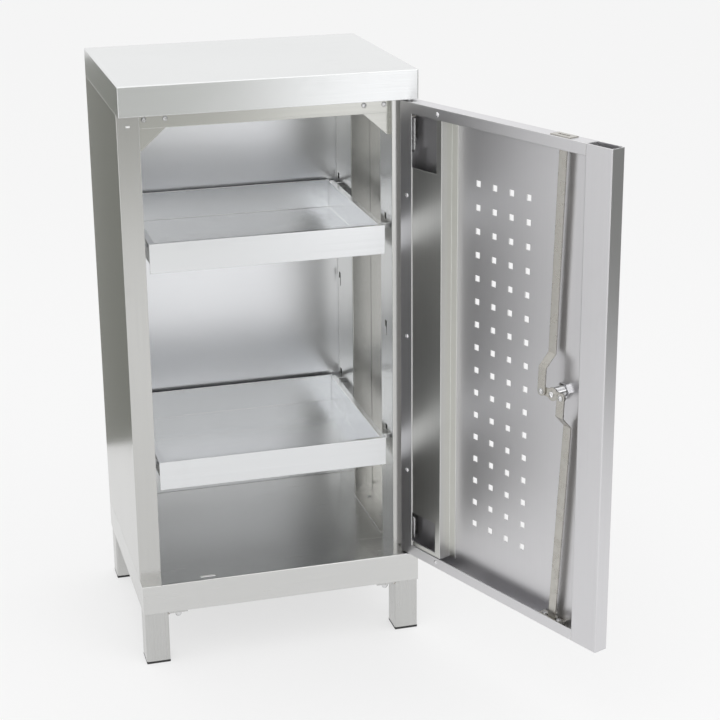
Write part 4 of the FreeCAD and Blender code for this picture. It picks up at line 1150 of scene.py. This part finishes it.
@dataclass(frozen=True)
class Studio:
    """Pale floor, white surroundings, soft lamps and grey cards.

    Attributes:
        sky: brightness of the surroundings where they give light.
        floor_size: lengths of the floor.
        floor_colour: the floor's own colour.
        floor_lift: how far the floor is lifted to white where it is seen.
        lamps: the soft lamps.
        cards: the cards that reflections see.
    """

    sky: float = 0.9
    floor_size: tuple[float, float] = (60.0, 60.0)
    floor_colour: Colour = (0.86, 0.86, 0.86)
    floor_lift: float = 0.6
    lamps: tuple[SoftBox, ...] = (
        SoftBox("key_softbox", (1.6, -2.6, 2.8), (0.1, -0.2, 0.5), (2.2, 1.6), 12.0),
        SoftBox("top_softbox", (-0.4, -0.2, 3.2), (0.0, 0.0, 0.0), (2.6, 2.6), 10.0),
        SoftBox("front_softbox", (-0.9, -3.4, 1.3), (0.0, 0.0, 0.55), (1.8, 1.8), 18.0),
    )
    cards: tuple[Card, ...] = (
        Card("side_card", (-0.98, 0.85, 0.45), (-0.98, 0.0, 0.45), (1.36, 0.9), (0.21, 0.215, 0.19)),
        Card("front_card", (-0.7, -3.0, 0.65), (-0.7, 0.0, 0.65), (2.7, 1.1), (0.44, 0.445, 0.42)),
        Card("right_card", (1.7, -1.15, 0.8), (0.4, -0.65, 0.8), (1.7, 1.4), (0.2, 0.205, 0.19)),
        Card("bright_card", (1.15, -3.05, 0.45), (0.6, 0.0, 0.45), (0.9, 0.9), (1.5, 1.5, 1.52)),
    )

    def build(self) -> None:
        """Make the floor, the surroundings, the lamps and the cards."""
        self.build_floor()
        self.build_world()
        for item in (*self.lamps, *self.cards):
            item.build()
        bpy.context.scene.view_settings.view_transform = "Standard"

    def seen_directly(self, tree: Tree) -> Socket:
        """Return a mask of the rays that see a surface itself rather than gather its light."""
        path = tree.nodes.new("ShaderNodeLightPath")
        either = calculate(tree, "MAXIMUM", path.outputs["Is Camera Ray"], path.outputs["Is Glossy Ray"])
        return calculate(tree, "MAXIMUM", either, path.outputs["Is Transmission Ray"])

    def build_floor(self) -> None:
        """Make the pale floor, lifted towards white where it is seen, so that shadows stay soft."""
        floor = show("studio_floor", flat_sheet("studio_floor", self.floor_size))
        material = bpy.data.materials.new("pale_floor")
        material.use_nodes = True
        tree = material.node_tree
        shader = tree.nodes["Principled BSDF"]
        shader.inputs["Base Color"].default_value = (*self.floor_colour, 1.0)
        shader.inputs["Roughness"].default_value = 0.9
        shader.inputs["Specular IOR Level"].default_value = 0.1
        glow = tree.nodes.new("ShaderNodeEmission")
        glow.inputs["Color"].default_value = WHITE
        mixed = tree.nodes.new("ShaderNodeMixShader")
        lift = calculate(tree, "MULTIPLY", self.seen_directly(tree), self.floor_lift)
        tree.links.new(lift, mixed.inputs["Fac"])
        tree.links.new(shader.outputs["BSDF"], mixed.inputs[1])
        tree.links.new(glow.outputs["Emission"], mixed.inputs[2])
        tree.links.new(mixed.outputs["Shader"], tree.nodes["Material Output"].inputs["Surface"])
        floor.data.materials.append(material)

    def build_world(self) -> None:
        """Make the surroundings: white where they are seen or reflected, softer where they light."""
        world = bpy.data.worlds.new("studio")
        bpy.context.scene.world = world
        world.use_nodes = True
        tree = world.node_tree
        tree.nodes.clear()
        lighting = tree.nodes.new("ShaderNodeBackground")
        lighting.inputs["Color"].default_value = (self.sky, self.sky, self.sky, 1.0)
        seen = tree.nodes.new("ShaderNodeBackground")
        seen.inputs["Color"].default_value = WHITE
        mixed = tree.nodes.new("ShaderNodeMixShader")
        tree.links.new(self.seen_directly(tree), mixed.inputs["Fac"])
        tree.links.new(lighting.outputs["Background"], mixed.inputs[1])
        tree.links.new(seen.outputs["Background"], mixed.inputs[2])
        output = tree.nodes.new("ShaderNodeOutputWorld")
        tree.links.new(mixed.outputs["Shader"], output.inputs["Surface"])


def main() -> None:
    """Build the sub-assemblies in order, then the studio and the camera."""
    logging.basicConfig(level=logging.INFO, format="%(message)s")
    door = Door()
    for assembly in (Carcass(), Legs(), Trays(), door, Lock(door)):
        LOG.info("building %s", type(assembly).__name__)
        assembly.build()
    Studio().build()
    Camera().build()


if __name__ == "__main__":
    main()
